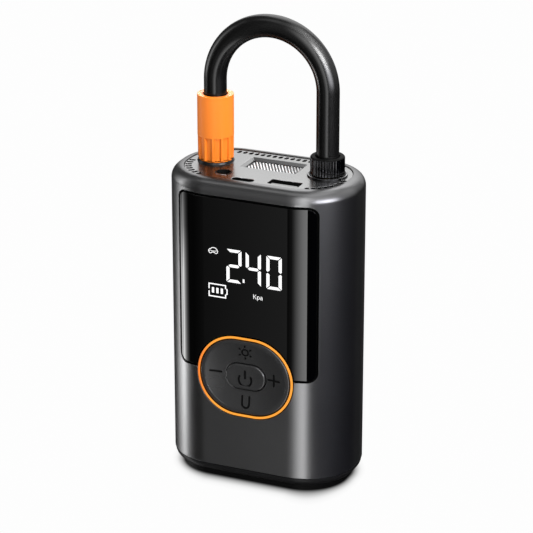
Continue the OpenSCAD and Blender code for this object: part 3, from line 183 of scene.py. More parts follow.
# Reflection cards: patches of a ball that only shiny surfaces see. The glow is the product of
# a level along the azimuth and one along the elevation.
cards = {
    "cardFront": {"radius": 0.7,
                  "az": [(-52, 0.02), (-44, 0.03), (-36, 0.045), (-29, 0.06), (-26.5, 0.07), (-20, 0.23),
                         (-17.5, 0.08)],
                  "el": [(-62, 1.0), (-20, 1.0), (30, 1.7), (46, 1.4), (60, 0.6)]},
    "cardRight": {"radius": 0.7,
                  "az": [(-16.5, 0.05), (-9, 0.1), (-4, 0.4), (3, 1.2), (9, 1.95), (15, 2.55), (23.6, 3.05)],
                  "el": [(-62, 1.0), (-10, 1.0), (38, 1.25), (52, 0.5), (60, 0.0)]},
    "cardLow": {"radius": 0.71, "tint": (0.8, 0.8, 1.35),
                "az": [(27, 0.012), (60, 0.015), (100, 0.015), (150, 0.01)],
                "el": [(-62, 1.0), (-16, 1.0), (-8, 0.0)]},
    "cardGleam": {"radius": 0.7, "tint": (0.98, 0.98, 1.05),
                  "az": [(34, 0.6), (46, 7.0), (66, 8.5), (78, 5.4), (90, 0.0)],
                  "el": [(-2, 0.0), (1, 0.9), (5, 1.0), (14, 0.9), (20, 0.6), (26, 0.0)]},
    "cardShoulder": {"radius": 0.72,
                     "az": [(24, 1.3), (45, 1.1), (95, 0.8), (110, 0.5)],
                     "el": [(22, 0.0), (30, 1.0), (46, 1.0), (54, 0.0)]},
    "cardLeft": {"radius": 0.7,
                 "az": [(-107, 0.0), (-103, 0.7), (-96, 0.8), (-92, 1.5), (-88, 1.7), (-84, 2.6), (-82, 5.2),
                        (-80, 4.8), (-78, 3.0), (-75, 1.7), (-72, 0.9), (-69, 0.42), (-66, 0.15), (-62, 0.0)],
                 "el": [(-62, 0.68), (-27.4, 0.68), (-26.4, 2.1), (-20.5, 2.1), (-18, 0.8), (-15, 0.14),
                        (-9, 0.12), (-5, 0.95), (26, 0.5), (42, 0.0)]},
    "cardUpperLeft": {"radius": 0.72, "lean": -0.4,
                      "az": [(-92, 0.0), (-84, 1.3), (-62, 2.0), (-52, 0.0)],
                      "el": [(-4, 0.0), (6, 0.5), (24, 1.0), (38, 0.9), (48, 0.0)]},
    "cardOver": {"radius": 0.74,
                 "az": [(-84, 0.3), (-66, 0.75), (-34, 0.9), (-12, 0.6)],
                 "el": [(52, 0.0), (60, 1.0), (76, 1.0), (82, 0.7)]},
    "cardBack": {"radius": 0.76,
                 "az": [(139, 0.0), (152, 0.9), (180, 1.15), (219, 1.2), (223, 0.0)],
                 "el": [(-6, 0.0), (12, 0.72), (22, 0.82), (26, 1.1), (30, 1.4), (36, 1.7), (44, 1.85),
                        (58, 2.0), (66, 1.6), (74, 0.9)]},
    "cardSide": {"radius": 0.74,
                 "az": [(85, 0.0), (100, 0.8), (140, 0.9), (156, 0.0)],
                 "el": [(-10, 0.0), (12, 0.6), (30, 1.0), (66, 1.0), (76, 0.8)]},
    "cardTop": {"radius": 0.73,
                "az": [(-10, 0.5), (20, 1.2), (100, 1.2), (165, 1.0)],
                "el": [(48, 0.0), (58, 1.0), (84, 1.0)]}}
cardCentre = 0.09
cardSteps = (3, 4)


def addCard(name, az, el, radius, lean=0.0, tint=(1, 1, 1)):
    turns, rises = [fineStops(stops, step) for stops, step in zip((az, el), cardSteps)]
    verts, faces, colours = [], [], []
    for rise in rises:
        for turn in turns:
            a, e = math.radians(turn + lean * rise), math.radians(rise)
            verts.append((radius * math.sin(a) * math.cos(e), -radius * math.cos(a) * math.cos(e),
                          cardCentre + radius * math.sin(e)))
            level = levelAt(az, turn) * levelAt(el, rise)
            colours.append([level * part for part in tint])
    n = len(turns)
    for k in range(len(rises) - 1):
        for i in range(k * n, k * n + n - 1):
            faces.append((i, i + 1, i + n + 1, i + n))
    card = addSheet(name, verts, faces, colours)
    card.visible_camera = card.visible_diffuse = card.visible_shadow = False
    card.visible_transmission = False


# The world's glow is lower below the horizon and turns a little brighter towards the back
studio = {"floorSize": 6.0, "floorDrop": 5e-5, "floorGlow": 0.985, "diffuseGlow": 0.75,
          "lowGlow": (0.03, 0.04), "highGlow": (0.1, 0.12), "turn": (-0.5, 0.6), "horizon": (-0.12, 0.3)}


def addWorld():
    world = bpy.data.worlds.new("studio")
    bpy.context.scene.world = world
    world.use_nodes = True
    tree = world.node_tree
    tree.nodes.clear()
    away = addNode(tree, "SeparateXYZ", {0: addNode(tree, "TexCoord").outputs["Generated"]}).outputs
    seenBy = addNode(tree, "LightPath").outputs
    low, high = [spread(tree, away["Y"], *studio["turn"], *studio[part], "SMOOTHSTEP")
                 for part in ("lowGlow", "highGlow")]
    rise = spread(tree, away["Z"], *studio["horizon"], curve="SMOOTHSTEP")
    glow = mix(tree, rise, low, high, "FLOAT")
    glow = mix(tree, seenBy["Is Diffuse Ray"], glow, studio["diffuseGlow"], "FLOAT")
    glow = mix(tree, seenBy["Is Camera Ray"], glow, studio["floorGlow"], "FLOAT")
    shine = addNode(tree, "Background", {"Strength": glow})
    addNode(tree, "OutputWorld", {0: shine.outputs[0]})


def addStudio():
    bpy.context.scene.view_settings.view_transform = "Standard"
    addWorld()
    half, drop = studio["floorSize"] / 2, -studio["floorDrop"]
    corners = [(-half, -half, drop), (half, -half, drop), (half, half, drop), (-half, half, drop)]
    floor = addSheet("floor", corners, [(0, 1, 2, 3)], [[studio["floorGlow"]] * 3] * 4)
    floor.visible_glossy = False
    addLamp("overhead")
    addLamp("key")
    for name, card in cards.items():
        addCard(name, **card)


addCamera()
addStudio()
bpy.context.view_layer.update()
print("studio ready")


def newGroup(name, inputs, outputs):
    tree = bpy.data.node_groups.new(name, "ShaderNodeTree")
    for label, value in inputs.items():
        socket = tree.interface.new_socket(label, in_out="INPUT", socket_type="NodeSocketFloat")
        socket.default_value = value
    for label, kind in outputs.items():
        tree.interface.new_socket(label, in_out="OUTPUT", socket_type="NodeSocket" + kind)
    return tree, tree.nodes.new("NodeGroupInput").outputs, tree.nodes.new("NodeGroupOutput")


# Fine moulded or sprayed texture, with a broad cloud of slight differences
def buildGrain():
    tree, given, out = newGroup("surfaceGrain", {"Scale": 900.0, "Cloud Scale": 45.0},
                                {"Fine": "Float", "Cloud": "Float"})
    place = addNode(tree, "TexCoord").outputs["Object"]
    for label, scale, detail in (("Fine", "Scale", 2.0), ("Cloud", "Cloud Scale", 3.0)):
        noise = addNode(tree, "TexNoise", {"Vector": place, "Scale": given[scale], "Detail": detail})
        feed(tree, out, {label: noise.outputs["Fac"]})
    return tree


# Metal flakes in paint: small cells that each catch the light a little differently
def buildFlake():
    tree, given, out = newGroup("paintFlake", {"Scale": 5000.0}, {"Sparkle": "Float"})
    place = addNode(tree, "TexCoord").outputs["Object"]
    cells = addNode(tree, "TexVoronoi", {"Vector": place, "Scale": given["Scale"]})
    parts = addNode(tree, "SeparateColor", {0: cells.outputs["Color"]})
    feed(tree, out, {"Sparkle": parts.outputs[0]})
    return tree


# A painted highlight along sharp edges: lighter colour between two amounts of bend, broken up by noise
edgeBend = (0.995, 0.86)


def buildEdge():
    tree, given, out = newGroup("edgeSheen", {"Width": 0.0003, "Break Up": 300.0},
                                {"Mask": "Float", "Soft Normal": "Vector"})
    place = addNode(tree, "TexCoord").outputs["Object"]
    soft = addNode(tree, "Bevel", {"Radius": given["Width"]}, samples=4).outputs[0]
    sharp = addNode(tree, "NewGeometry").outputs["Normal"]
    turn = addNode(tree, "VectorMath", {0: soft, 1: sharp}, operation="DOT_PRODUCT").outputs["Value"]
    noise = addNode(tree, "TexNoise", {"Vector": place, "Scale": given["Break Up"]}).outputs["Fac"]
    sheen = addNode(tree, "Math", {0: spread(tree, turn, *edgeBend), 1: noise}, operation="MULTIPLY")
    feed(tree, out, {"Mask": sheen.outputs[0], "Soft Normal": soft})
    return tree


grainGroup = buildGrain()
flakeGroup = buildFlake()
edgeGroup = buildEdge()


def placeGroup(tree, group, inputs=None):
    return addNode(tree, "Group", inputs, node_tree=group).outputs


# A new material: itself, its tree, its shader, and its grain
def startMaterial(name, grain):
    mat = bpy.data.materials.new(name)
    mat.use_nodes = True
    tree = mat.node_tree
    return mat, tree, tree.nodes["Principled BSDF"], placeGroup(tree, grainGroup, grain)


# The middle of a noise drawn out over a range
def swing(tree, noise, low, high):
    return spread(tree, noise, 0.3, 0.7, low, high)


def shade(colour, gain):
    return tuple(min(part * gain, 1.0) for part in colour)


# For each finish: colour, its drift, roughness from and to, scale and depth of the grain, and
# what else it has: metal, gloss, index, an edge painted lighter as a highlight, flake, and the gain of its
# colour where others mirror it (a painted shade in its reflections)
finishes = {
    "shell_paint": ((0.22, 0.22, 0.223), 0.02, (0.295, 0.315), 1400, 0.001, {"metal": 1.0, "flake": 0.008}),
    "dark_plastic": ((0.008, 0.008, 0.009), 0.1, (0.26, 0.34), 2600, 0.03, {}),
    "steel": ((0.55, 0.55, 0.57), 0.08, (0.22, 0.34), 3000, 0.04, {"metal": 1.0, "edge": 0.0002}),
    "plate_grey": ((0.42, 0.42, 0.42), 0.03, (0.22, 0.26), 2800, 0.01, {"metal": 1.0}),
    # A darker copy of the plate's grey: painted shade on the lamp opening's back bevel
    "bezel_shade": ((0.14, 0.14, 0.141), 0.03, (0.22, 0.26), 2800, 0.01, {"metal": 1.0}),
    "smoked_glass": ((0.0002, 0.0002, 0.0002), 0.1, (0.02, 0.03), 300, 0.0, {"index": 1.6}),
    "key_black": ((0.02, 0.02, 0.0205), 0.06, (0.24, 0.28), 3200, 0.03, {"gloss": 1.0}),
    "silicone": ((0.25, 0.25, 0.26), 0.1, (0.5, 0.65), 1500, 0.05, {"edge": 0.0002}),
    "board_green": ((0.02, 0.12, 0.05), 0.25, (0.3, 0.45), 1200, 0.04, {"edge": 0.0001}),
    "lamp_white": ((0.8, 0.8, 0.77), 0.03, (0.35, 0.5), 2000, 0.03, {"edge": 0.0002}),
    "port_steel": ((0.62, 0.62, 0.63), 0.08, (0.2, 0.32), 2600, 0.03, {"metal": 1.0, "edge": 0.00015}),
    "outlet_metal": ((0.035, 0.035, 0.036), 0.04, (0.2, 0.26), 2600, 0.02, {"metal": 1.0}),
    "hose_rubber": ((0.0005, 0.0005, 0.0005), 0.15, (0.21, 0.24), 2200, 0.003, {}),
    "chuck_orange": ((0.9, 0.225, 0.02), 0.03, (0.34, 0.4), 2600, 0.01, {"gloss": 0.25, "mirror": 0.22}),
    "brass": ((0.75, 0.55, 0.26), 0.08, (0.22, 0.34), 2400, 0.04, {"metal": 1.0, "edge": 0.0002}),
    "nut_black": ((0.1, 0.1, 0.103), 0.05, (0.13, 0.15), 2600, 0.01, {"metal": 1.0}),
    "cell_wrap": ((0.05, 0.22, 0.5), 0.06, (0.25, 0.4), 900, 0.03, {"edge": 0.0004}),
    "holder_grey": ((0.06, 0.06, 0.065), 0.08, (0.45, 0.6), 2200, 0.08, {"edge": 0.0003}),
    "nickel": ((0.7, 0.68, 0.62), 0.06, (0.2, 0.35), 2200, 0.04, {"metal": 1.0, "edge": 0.0001}),
    "motor_steel": ((0.6, 0.6, 0.61), 0.08, (0.25, 0.4), 1800, 0.04, {"metal": 1.0, "edge": 0.0003}),
    "magnet": ((0.08, 0.08, 0.085), 0.1, (0.4, 0.55), 1500, 0.05, {"metal": 0.6, "edge": 0.0002}),
    "copper_core": ((0.62, 0.25, 0.1), 0.15, (0.25, 0.4), 2500, 0.1, {"metal": 1.0, "edge": 0.0002}),
    "cast_alloy": ((0.5, 0.5, 0.51), 0.1, (0.4, 0.55), 1600, 0.12, {"metal": 1.0, "edge": 0.0004}),
    "bronze": ((0.55, 0.36, 0.16), 0.1, (0.3, 0.42), 2000, 0.06, {"metal": 1.0, "edge": 0.0002}),
    "acetal": ((0.82, 0.79, 0.7), 0.03, (0.35, 0.45), 2200, 0.04, {"edge": 0.0002}),
    "seal_rubber": ((0.012, 0.012, 0.012), 0.1, (0.45, 0.55), 2200, 0.05, {}),
    "tube_clear": ((0.75, 0.76, 0.74), 0.03, (0.2, 0.3), 1500, 0.02, {}),
    # Near-black, painted as shade on the walls of gaps and openings
    "painted_gap_shade": ((0.003, 0.003, 0.003), 0.1, (0.5, 0.6), 2400, 0.03, {"gloss": 0.1}),
    "cap_satin": ((0.006, 0.006, 0.0065), 0.1, (0.34, 0.42), 2600, 0.03, {"gloss": 0.2}),
    "foot_matt": ((0.0015, 0.0015, 0.0015), 0.2, (0.5, 0.6), 1800, 0.08, {"gloss": 0.08}),
    "nut_matt": ((0.004, 0.004, 0.004), 0.1, (0.5, 0.6), 2600, 0.05, {"gloss": 0.06}),
    # The lens beads are painted white as highlights and its bed dark as shade
    "lens_bead_highlight": ((0.8, 0.81, 0.82), 0.05, (0.12, 0.2), 1500, 0.02, {"gloss": 0.6}),
    "lens_bed_shade": ((0.01, 0.01, 0.011), 0.2, (0.3, 0.4), 1500, 0.02, {}),
    "sensor_black": ((0.02, 0.02, 0.02), 0.1, (0.4, 0.5), 2400, 0.05, {"edge": 0.0002}),
    # Near-black marks painted where the key's icons are engraved: painted shade in their grooves
    "iconGrooveShade": ((0.003, 0.003, 0.003), 1 / 3, (0.6, 0.6), 3000, 0.0, {"gloss": 0.05}),
}
reliefHeight = 0.0003
edgeSheenGain = 1.6


def makeFinish(name, colour, drift, rough, scale, depth, more):
    mat, tree, bsdf, grain = startMaterial(name, {"Scale": scale})
    result = mix(tree, grain["Cloud"], shade(colour, 1 - drift), shade(colour, 1 + drift))
    bump = addNode(tree, "Bump", {"Strength": depth, "Distance": reliefHeight, "Height": grain["Fine"]})
    if "flake" in more:
        sparkle = placeGroup(tree, flakeGroup)["Sparkle"]
        result = mix(tree, swing(tree, sparkle, 0.0, more["flake"]), result, (1, 1, 1), blend="ADD")
    if "edge" in more:
        edge = placeGroup(tree, edgeGroup, {"Width": more["edge"]})
        # Sharp edges are painted lighter: a painted highlight
        result = mix(tree, edge["Mask"], result, shade(colour, edgeSheenGain))
        feed(tree, bump, {"Normal": edge["Soft Normal"]})
    # Where others mirror this piece its colour is painted darker: a painted shade in its reflections
    if "mirror" in more:
        mirrored = addNode(tree, "LightPath").outputs["Is Glossy Ray"]
        result = mix(tree, mirrored, result, shade(colour, more["mirror"]))
    feed(tree, bsdf, {"Base Color": result, "Metallic": more.get("metal", 0.0),
                      "Roughness": swing(tree, grain["Cloud"], *rough), "Normal": bump.outputs[0],
                      "Specular IOR Level": more.get("gloss", 0.5), "IOR": more.get("index", 1.5)})
    return mat


# Lit surfaces vary slightly in brightness; the ring is deeper orange towards its left end, from
# one place across to another in metres
glows = {"digitGlow": {"colour": (1.0, 1.0, 1.0), "base": (0.2, 0.2, 0.2), "rough": 0.4},
         "ring_orange": {"colour": (1.0, 0.37, 0.03), "base": (0.1, 0.03, 0.004), "rough": 0.5,
                         "left": (0.9, 0.2, 0.01), "turnsAt": (-0.012, -0.0205)}}
glowDrift = 0.94


def makeGlow(name, glow):
    mat, tree, bsdf, grain = startMaterial(name, {"Scale": 700, "Cloud Scale": 120})
    result = mix(tree, grain["Cloud"], shade(glow["colour"], glowDrift), glow["colour"])
    if "left" in glow:
        place = addNode(tree, "SeparateXYZ", {0: addNode(tree, "TexCoord").outputs["Object"]})
        across = spread(tree, place.outputs["X"], *glow["turnsAt"], curve="SMOOTHSTEP")
        result = mix(tree, across, result, glow["left"])
    feed(tree, bsdf, {"Base Color": (*glow["base"], 1), "Roughness": glow["rough"],
                      "Emission Color": result, "Emission Strength": 1.0})
    return mat


# Dark plastic with one bright metal part: all that lies between two corners, in millimetres
portFinishes = {
    # On the charging jack the bright metal is only a sliver at the front of its top, put there for the glint
    # on its front rim: a painted highlight
    "charging_jack": {"from": (-30, -30, 122.6), "to": (30, -12.35, 130), "metal": (0.75, 0.75, 0.76)},
    "large_port": {"from": (6.4, -14.5, 120), "to": (18.2, -12.3, 130), "metal": (0.3, 0.3, 0.3)},
    "small_port": {"from": (-8.0, -15.4, 119), "to": (0.0, -14.4, 130), "metal": (0.12, 0.12, 0.12)}}


def makePortFinish(name, port):
    mat, tree, bsdf, grain = startMaterial(name, {"Scale": 2400})
    place = addNode(tree, "SeparateXYZ", {0: addNode(tree, "TexCoord").outputs["Object"]}).outputs
    mask = 1.0
    for axis, low, high in zip("XYZ", port["from"], port["to"]):
        for edge, test in ((low, "GREATER_THAN"), (high, "LESS_THAN")):
            past = addNode(tree, "Math", {0: place[axis], 1: edge * mm}, operation=test)
            mask = addNode(tree, "Math", {0: mask, 1: past.outputs[0]}, operation="MULTIPLY").outputs[0]
    dark = mix(tree, grain["Cloud"], (0.006, 0.006, 0.006), (0.009, 0.009, 0.009))
    feed(tree, bsdf, {"Base Color": mix(tree, mask, dark, port["metal"]), "Metallic": mask,
                      "Roughness": swing(tree, grain["Fine"], 0.24, 0.36), "Specular IOR Level": 0.25})
    return mat


finish = {name: makeFinish(name, *spec) for name, spec in finishes.items()}
finish.update({name: makeGlow(name, glow) for name, glow in glows.items()})
finish.update({name: makePortFinish(name, port) for name, port in portFinishes.items()})
print("finishes ready", len(finish))


# From here on sizes are in millimetres. A surface collects points, their normals and its faces.
class Surface:
    def __init__(self):
        self.verts, self.normals, self.faces = [], [], []

    def add(self, place, normal=(0, 0, 1)):
        self.verts.append(place)
        self.normals.append(normal)
        return len(self.verts) - 1

    # Quads between two rows of points
    def bridge(self, low, high, closed=True):
        n = len(low)
        for i in range(n if closed else n - 1):
            k = (i + 1) % n
            self.faces.append((low[i], low[k], high[k], high[i]))

    def join(self, rows):
        for low, high in zip(rows, rows[1:]):
            self.bridge(low, high)
        return rows

    # Rows round the housing are (inset, height, outward part of the normal, upward part)
    def loft(self, stations, rows):
        return self.join([[self.add((x - nx * inset, y - ny * inset, z), (nx * out, ny * out, up))
                           for x, y, nx, ny in stations] for inset, z, out, up in rows])

    # Make the piece and put it on its body
    def make(self, name, finishName, body, slotName, replaced=(), smooth=True):
        mesh = bpy.data.meshes.new(name)
        mesh.from_pydata([(x * mm, y * mm, z * mm) for x, y, z in self.verts], [], self.faces)
        mesh.polygons.foreach_set("use_smooth", [smooth] * len(mesh.polygons))
        mesh.update()
        if smooth:
            mesh.normals_split_custom_set_from_vertices([Vector(n).normalized() for n in self.normals])
        mesh.materials.append(finish[finishName])
        obj = bpy.data.objects.new(name, mesh)
        bpy.context.scene.collection.objects.link(obj)
        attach(obj, body)
        if replaced:
            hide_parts(*replaced)


body = {"width": 76.0, "depth": 45.0, "corner": 20.8, "height": 124.0, "rim": 4.7, "low": 6.4,
        "lowEdge": 0.35, "lowSoft": 0.1, "wall": 1.6, "plateInset": 4.9, "plateWall": 121.75,
        "lip": [(-0.16, 0, 0, 1), (-0.04, -0.06, -0.7, 0.7), (0, -0.2, -1, 0)], "rimSteps": 12,
        "flat": 6.0, "frontTurn": 40.0}
arcX = body["width"] / 2 - body["corner"]
arcY = body["depth"] / 2 - body["corner"]


# A station is a point of the housing's outline with its outward direction
def frontStation(x):
    away = max(abs(x) - arcX, 0)
    a = math.asin(min(away / body["corner"], 1))
    return (x, -(arcY + body["corner"] * math.cos(a)), math.copysign(math.sin(a), x), -math.cos(a))


def cornerStation(cx, cy, degrees):
    c, s = math.cos(math.radians(degrees)), math.sin(math.radians(degrees))
    return (cx + body["corner"] * c, cy + body["corner"] * s, c, s)


# The whole outline, anticlockwise from above, with these x places on its front
def bodyStations(frontXs, step=3.0):
    first = sorted(frontXs)
    end = math.degrees(math.asin((first[-1] - arcX) / body["corner"]))
    n, m = max(int((90 - end) / step), 1), int(90 / step)
    half = [cornerStation(arcX, -arcY, -90 + end + (90 - end) * i / n) for i in range(1, n + 1)]
    half += [cornerStation(arcX, arcY, 90.0 * i / m) for i in range(m + 1)]
    half.append((body["flat"], body["depth"] / 2, 0, 1))
    left = [(-x, y, -nx, ny) for x, y, nx, ny in reversed(half)]
    return [frontStation(x) for x in first] + half + left


def plainStations(step=3.0):
    turn, flat = body["frontTurn"], body["flat"]
    n = int(turn / step)
    xs = [arcX + body["corner"] * math.sin(math.radians(turn * i / n)) for i in range(n + 1)]
    return bodyStations([-x for x in xs] + xs + [-flat, flat], step)


def arcRows(inset, z, radius, start, stop, steps):
    rows = []
    for i in range(steps + 1):
        a = math.radians(start + (stop - start) * i / steps)
        rows.append((inset - radius * math.cos(a), z + radius * math.sin(a), math.cos(a), math.sin(a)))
    return rows


# A painted shadow round the foot: a ring of the floor whose glow fades outward. The stops are (reach
# to the sides, level), and the ring is stretched to the front and back to look even.
shadow = {"stops": [(-2.5, 0.02), (0, 0.05), (1, 0.18), (2, 0.32), (3, 0.456), (4, 0.558), (5, 0.665),
                    (6, 0.76), (7, 0.847), (8, 0.9), (9, 0.94), (11, 0.975), (13, 1.0)],
          "across": 2.56, "along": 0.96, "inset": 3.5, "turn": (0.9155, 0.4024)}


def addPaintedFootShadow():
    near = Surface()
    c, s = shadow["turn"]
    rows, colours = [], []
    for reach, level in shadow["stops"]:
        row = []
        for x, y, nx, ny in plainStations(4):
            side, fore = nx * c + ny * s, ny * c - nx * s
            out = reach / math.hypot(shadow["across"] * side, shadow["along"] * fore) - shadow["inset"]
            row.append(near.add(((x + nx * out) * mm, (y + ny * out) * mm, 0)))
            colours.append([studio["floorGlow"] * level] * 3)
        rows.append(row)
    for a, b in zip(rows, rows[1:]):
        near.bridge(b, a)
    sheet = addSheet("floorNear", near.verts, near.faces, colours)
    sheet.visible_glossy = sheet.visible_diffuse = False


addPaintedFootShadow()


def untouched(r, z, a):
    return r, 0.0


# A turned piece about a vertical line. Rows are (radius, height, outward, upward), and shaping
# gives the radius and the sideways tilt of the surface at a radius, height and angle.
def turned(rows, cx, cy, steps=96, shaping=untouched):
    piece = Surface()
    made = []
    for r, z, out, up in rows:
        row = []
        for i in range(steps):
            a = 2 * math.pi * i / steps
            c, s = math.cos(a), math.sin(a)
            reach, tilt = shaping(r, z, a)
            row.append(piece.add((cx + reach * c, cy + reach * s, z),
                                 (c * out - s * tilt * out, s * out + c * tilt * out, up)))
        made.append(row)
    piece.join(made)
    return piece


# Rows for a turned profile given as corner points with a rounding radius each
def profileRows(points, steps=5):
    rows = []
    for k, (r, z, fillet) in enumerate(points):
        before, after = points[max(k - 1, 0)], points[min(k + 1, len(points) - 1)]
        if k in (0, len(points) - 1):
            dr, dz = after[0] - before[0], after[1] - before[1]
            d = math.hypot(dr, dz)
            rows.append((r, z, dz / d, -dr / d))
            continue
        ax, az = r - before[0], z - before[1]
        bx, bz = after[0] - r, after[1] - z
        la, lb = math.hypot(ax, az), math.hypot(bx, bz)
        ax, az, bx, bz = ax / la, az / la, bx / lb, bz / lb
        turn = math.atan2(ax * bz - az * bx, ax * bx + az * bz)
        back = fillet * abs(math.tan(turn / 2))
        side = math.copysign(fillet, turn)
        sx, sz = r - ax * back, z - az * back
        ox, oz = sx - az * side, sz + ax * side
        for i in range(steps + 1):
            c, s = math.cos(turn * i / steps), math.sin(turn * i / steps)
            vx, vz = sx - ox, sz - oz
            rows.append((ox + vx * c - vz * s, oz + vx * s + vz * c, az * c + ax * s, az * s - ax * c))
    return rows


# The opening for the window and the keypad's ring, with the pane set into it. The seam is the
# gap round the pane, and the line is where the pane's rolled sides begin.
window = {"half": 29.2, "low": 47.0, "high": 118.3, "corner": 3.8, "seam": 0.9, "ringSeam": 0.6,
          "edge": 0.1, "deep": 1.05, "thick": 1.0, "lip": 1.25, "soft": 0.12,
          "line": 27.25, "lineStep": 0.26, "lineReach": (0.1, 0.3), "groove": 0.06,
          "grooveTilt": (0.75, 0.66)}
ring = {"a": 20.4, "b": 16.9, "z": 45.7, "band": 1.3, "gap": 0.13, "slack": 0.2, "high": 0.3,
        "sunk": 0.08, "seatDeep": 1.2, "steps": 40}
ringM = ring["a"] - ring["b"]
arcSteps = 8
ringSteps = 16


def cornerArc(cx, cz, r, start, stop, steps):
    pts = []
    for i in range(steps + 1):
        a = math.radians(start + (stop - start) * i / steps)
        pts.append((cx + r * math.cos(a), cz + r * math.sin(a)))
    return pts


# The window's upper edge over the x places of its lower edge
def upperChain(low, grow):
    r = window["corner"] + grow
    cx = window["half"] - window["corner"]
    high = []
    for x, z in low:
        away = max(abs(x) - cx, 0)
        high.append((x, window["high"] - window["corner"] + math.sqrt(max(r * r - away * away, 0))))
    return high


# Lower and upper chains of points, left to right, of the opening for window and ring together
def openingChains(grow):
    r = window["corner"] + grow
    cx, cz = window["half"] - window["corner"], window["low"] + window["corner"]
    b = ring["b"] + grow
    low = cornerArc(-cx, cz, r, 180, 270, arcSteps)
    low.append((-ring["a"] - grow, window["low"] - grow))
    low += cornerArc(-ringM, ring["z"], b, 180, 270, ringSteps)
    low += cornerArc(ringM, ring["z"], b, 270, 360, ringSteps)
    low.append((ring["a"] + grow, window["low"] - grow))
    low += cornerArc(cx, cz, r, 270, 360, arcSteps)
    return low, upperChain(low, grow)


# The same two chains for the pane, which stops above the ring
def paneChains(grow):
    r = window["corner"] + grow
    cx, cz = window["half"] - window["corner"], window["low"] + window["corner"]
    b = ring["b"] - grow - window["ringSeam"]
    end = math.degrees(math.asin((window["low"] - grow - ring["z"]) / b))
    turns = [90.0 * i / arcSteps for i in range(arcSteps + 1)]
    step = window["lineStep"]
    turns += [math.degrees(math.acos((window["line"] + off - cx) / r)) for off in (-step, 0, step)]
    side = [(-cx - r * math.cos(math.radians(t)), cz - r * math.sin(math.radians(t))) for t in sorted(turns)]
    low = side + cornerArc(-ringM, ring["z"], b, 180 - end, 90, ringSteps)
    low += cornerArc(ringM, ring["z"], b, 90, end, ringSteps)
    low += [(-x, z) for x, z in reversed(side)]
    return low, upperChain(low, grow)


def surfacePoint(x, z, deep=0.0):
    px, py, nx, ny = frontStation(x)
    return (px - nx * deep, py - ny * deep, z)


# The rounded edge round an opening (sign -1) or a pane (sign 1): loops at several depths, each
# grown or drawn in. A level is (growth, depth, how far the surface faces outward), and a loop
# grown a nudge more shows which way is out.
nudge = 0.01


def edgeLoops(surface, chains, levels, sign):
    loops = []
    for grow, deep, face in levels:
        inner, outer = [low + high[::-1] for low, high in (chains(grow), chains(grow + nudge))]
        side = math.sqrt(max(1 - face * face, 0)) * sign
        row = []
        for (x, z), (wx, wz) in zip(inner, outer):
            nx, ny = frontStation(x)[2:]
            dx, dz = (wx - x) / max(abs(ny), 0.2), wz - z
            d = math.hypot(dx, dz) or 1
            dx, dz = dx / d * side, dz / d * side
            row.append(surface.add(surfacePoint(x, z, deep), (nx * face - ny * dx, ny * face + nx * dx, dz)))
        loops.append(row)
    for a, b in zip(loops, loops[1:]):
        surface.bridge(*((a, b) if sign < 0 else (b, a)))
    return loops


# The front faces run from the rows at the foot and the rim to the opening's two chains
def addHousing():
    shell, recess = Surface(), Surface()
    grow, deep = window["soft"], window["deep"]
    loops = edgeLoops(shell, openingChains, [(grow, 0, 1.0), (grow / 3, grow / 3, 0.7), (0, grow, 0.0)], -1)
    # The recess walls round the window are painted near-black as shade in the gap
    edgeLoops(recess, openingChains, [(0, grow, 0.0), (0, deep, 0.0), (-window["lip"], deep, 1.0)], -1)
    recess.make("windowRecess", "painted_gap_shade", "housing", "shell_paint")
    low = openingChains(grow)[0]
    n = len(low)
    lowIds, highIds = loops[0][:n], loops[0][n:][::-1]
    xs = sorted(set(round(x, 6) for x, z in low))
    stations = bodyStations(xs)
    z0, edge, soft = body["low"], body["lowEdge"], body["lowSoft"]
    foot = [(body["wall"], z0, 0, -1), (edge, z0, 0, -1), (soft, z0 + soft, 0.7, -0.7), (0, z0 + edge, 1, 0)]
    lowRow = shell.loft(stations, foot)[-1]
    inset, z1, rim = body["plateInset"], body["height"], body["rim"]
    top = arcRows(rim, z1 - rim, rim, 0, 90, body["rimSteps"])
    top += [(inset + u, z1 + h, out, up) for u, h, out, up in body["lip"]]
    top.append((inset, body["plateWall"], -1, 0))
    topRow = shell.loft(stations, top)[0]
    at = {x: i for i, x in enumerate(xs)}
    for k in range(n - 1):  # the strips under and over the opening
        x0, x1 = round(low[k][0], 6), round(low[k + 1][0], 6)
        if x1 - x0 < 1e-6:
            continue
        left, right = [lowIds[k]], [lowIds[k + 1]]
        if k + 2 < n and abs(low[k + 2][0] - low[k + 1][0]) < 1e-6 and low[k + 2][1] < low[k + 1][1]:
            right.append(lowIds[k + 2])
        if k > 0 and abs(low[k - 1][0] - low[k][0]) < 1e-6 and low[k - 1][1] < low[k][1]:
            left.append(lowIds[k - 1])
        shell.faces.append((lowRow[at[x0]], lowRow[at[x1]], *reversed(right), *left))
        shell.faces.append((highIds[k], highIds[k + 1], topRow[at[x1]], topRow[at[x0]]))
    last = len(xs) - 1
    for i in range(last, len(stations)):  # the rest, from the window's right edge round the back
        k = (i + 1) % len(stations)
        quad = [lowRow[i], lowRow[k], topRow[k], topRow[i]]
        if i == last:
            quad += [highIds[-1], lowIds[-1]]
        if k == 0:
            quad[2:2] = [lowIds[0], highIds[0]]
        shell.faces.append(tuple(quad))
    shell.make("housingShell", "shell_paint", "housing", "shell_paint", ["housing_shell"])


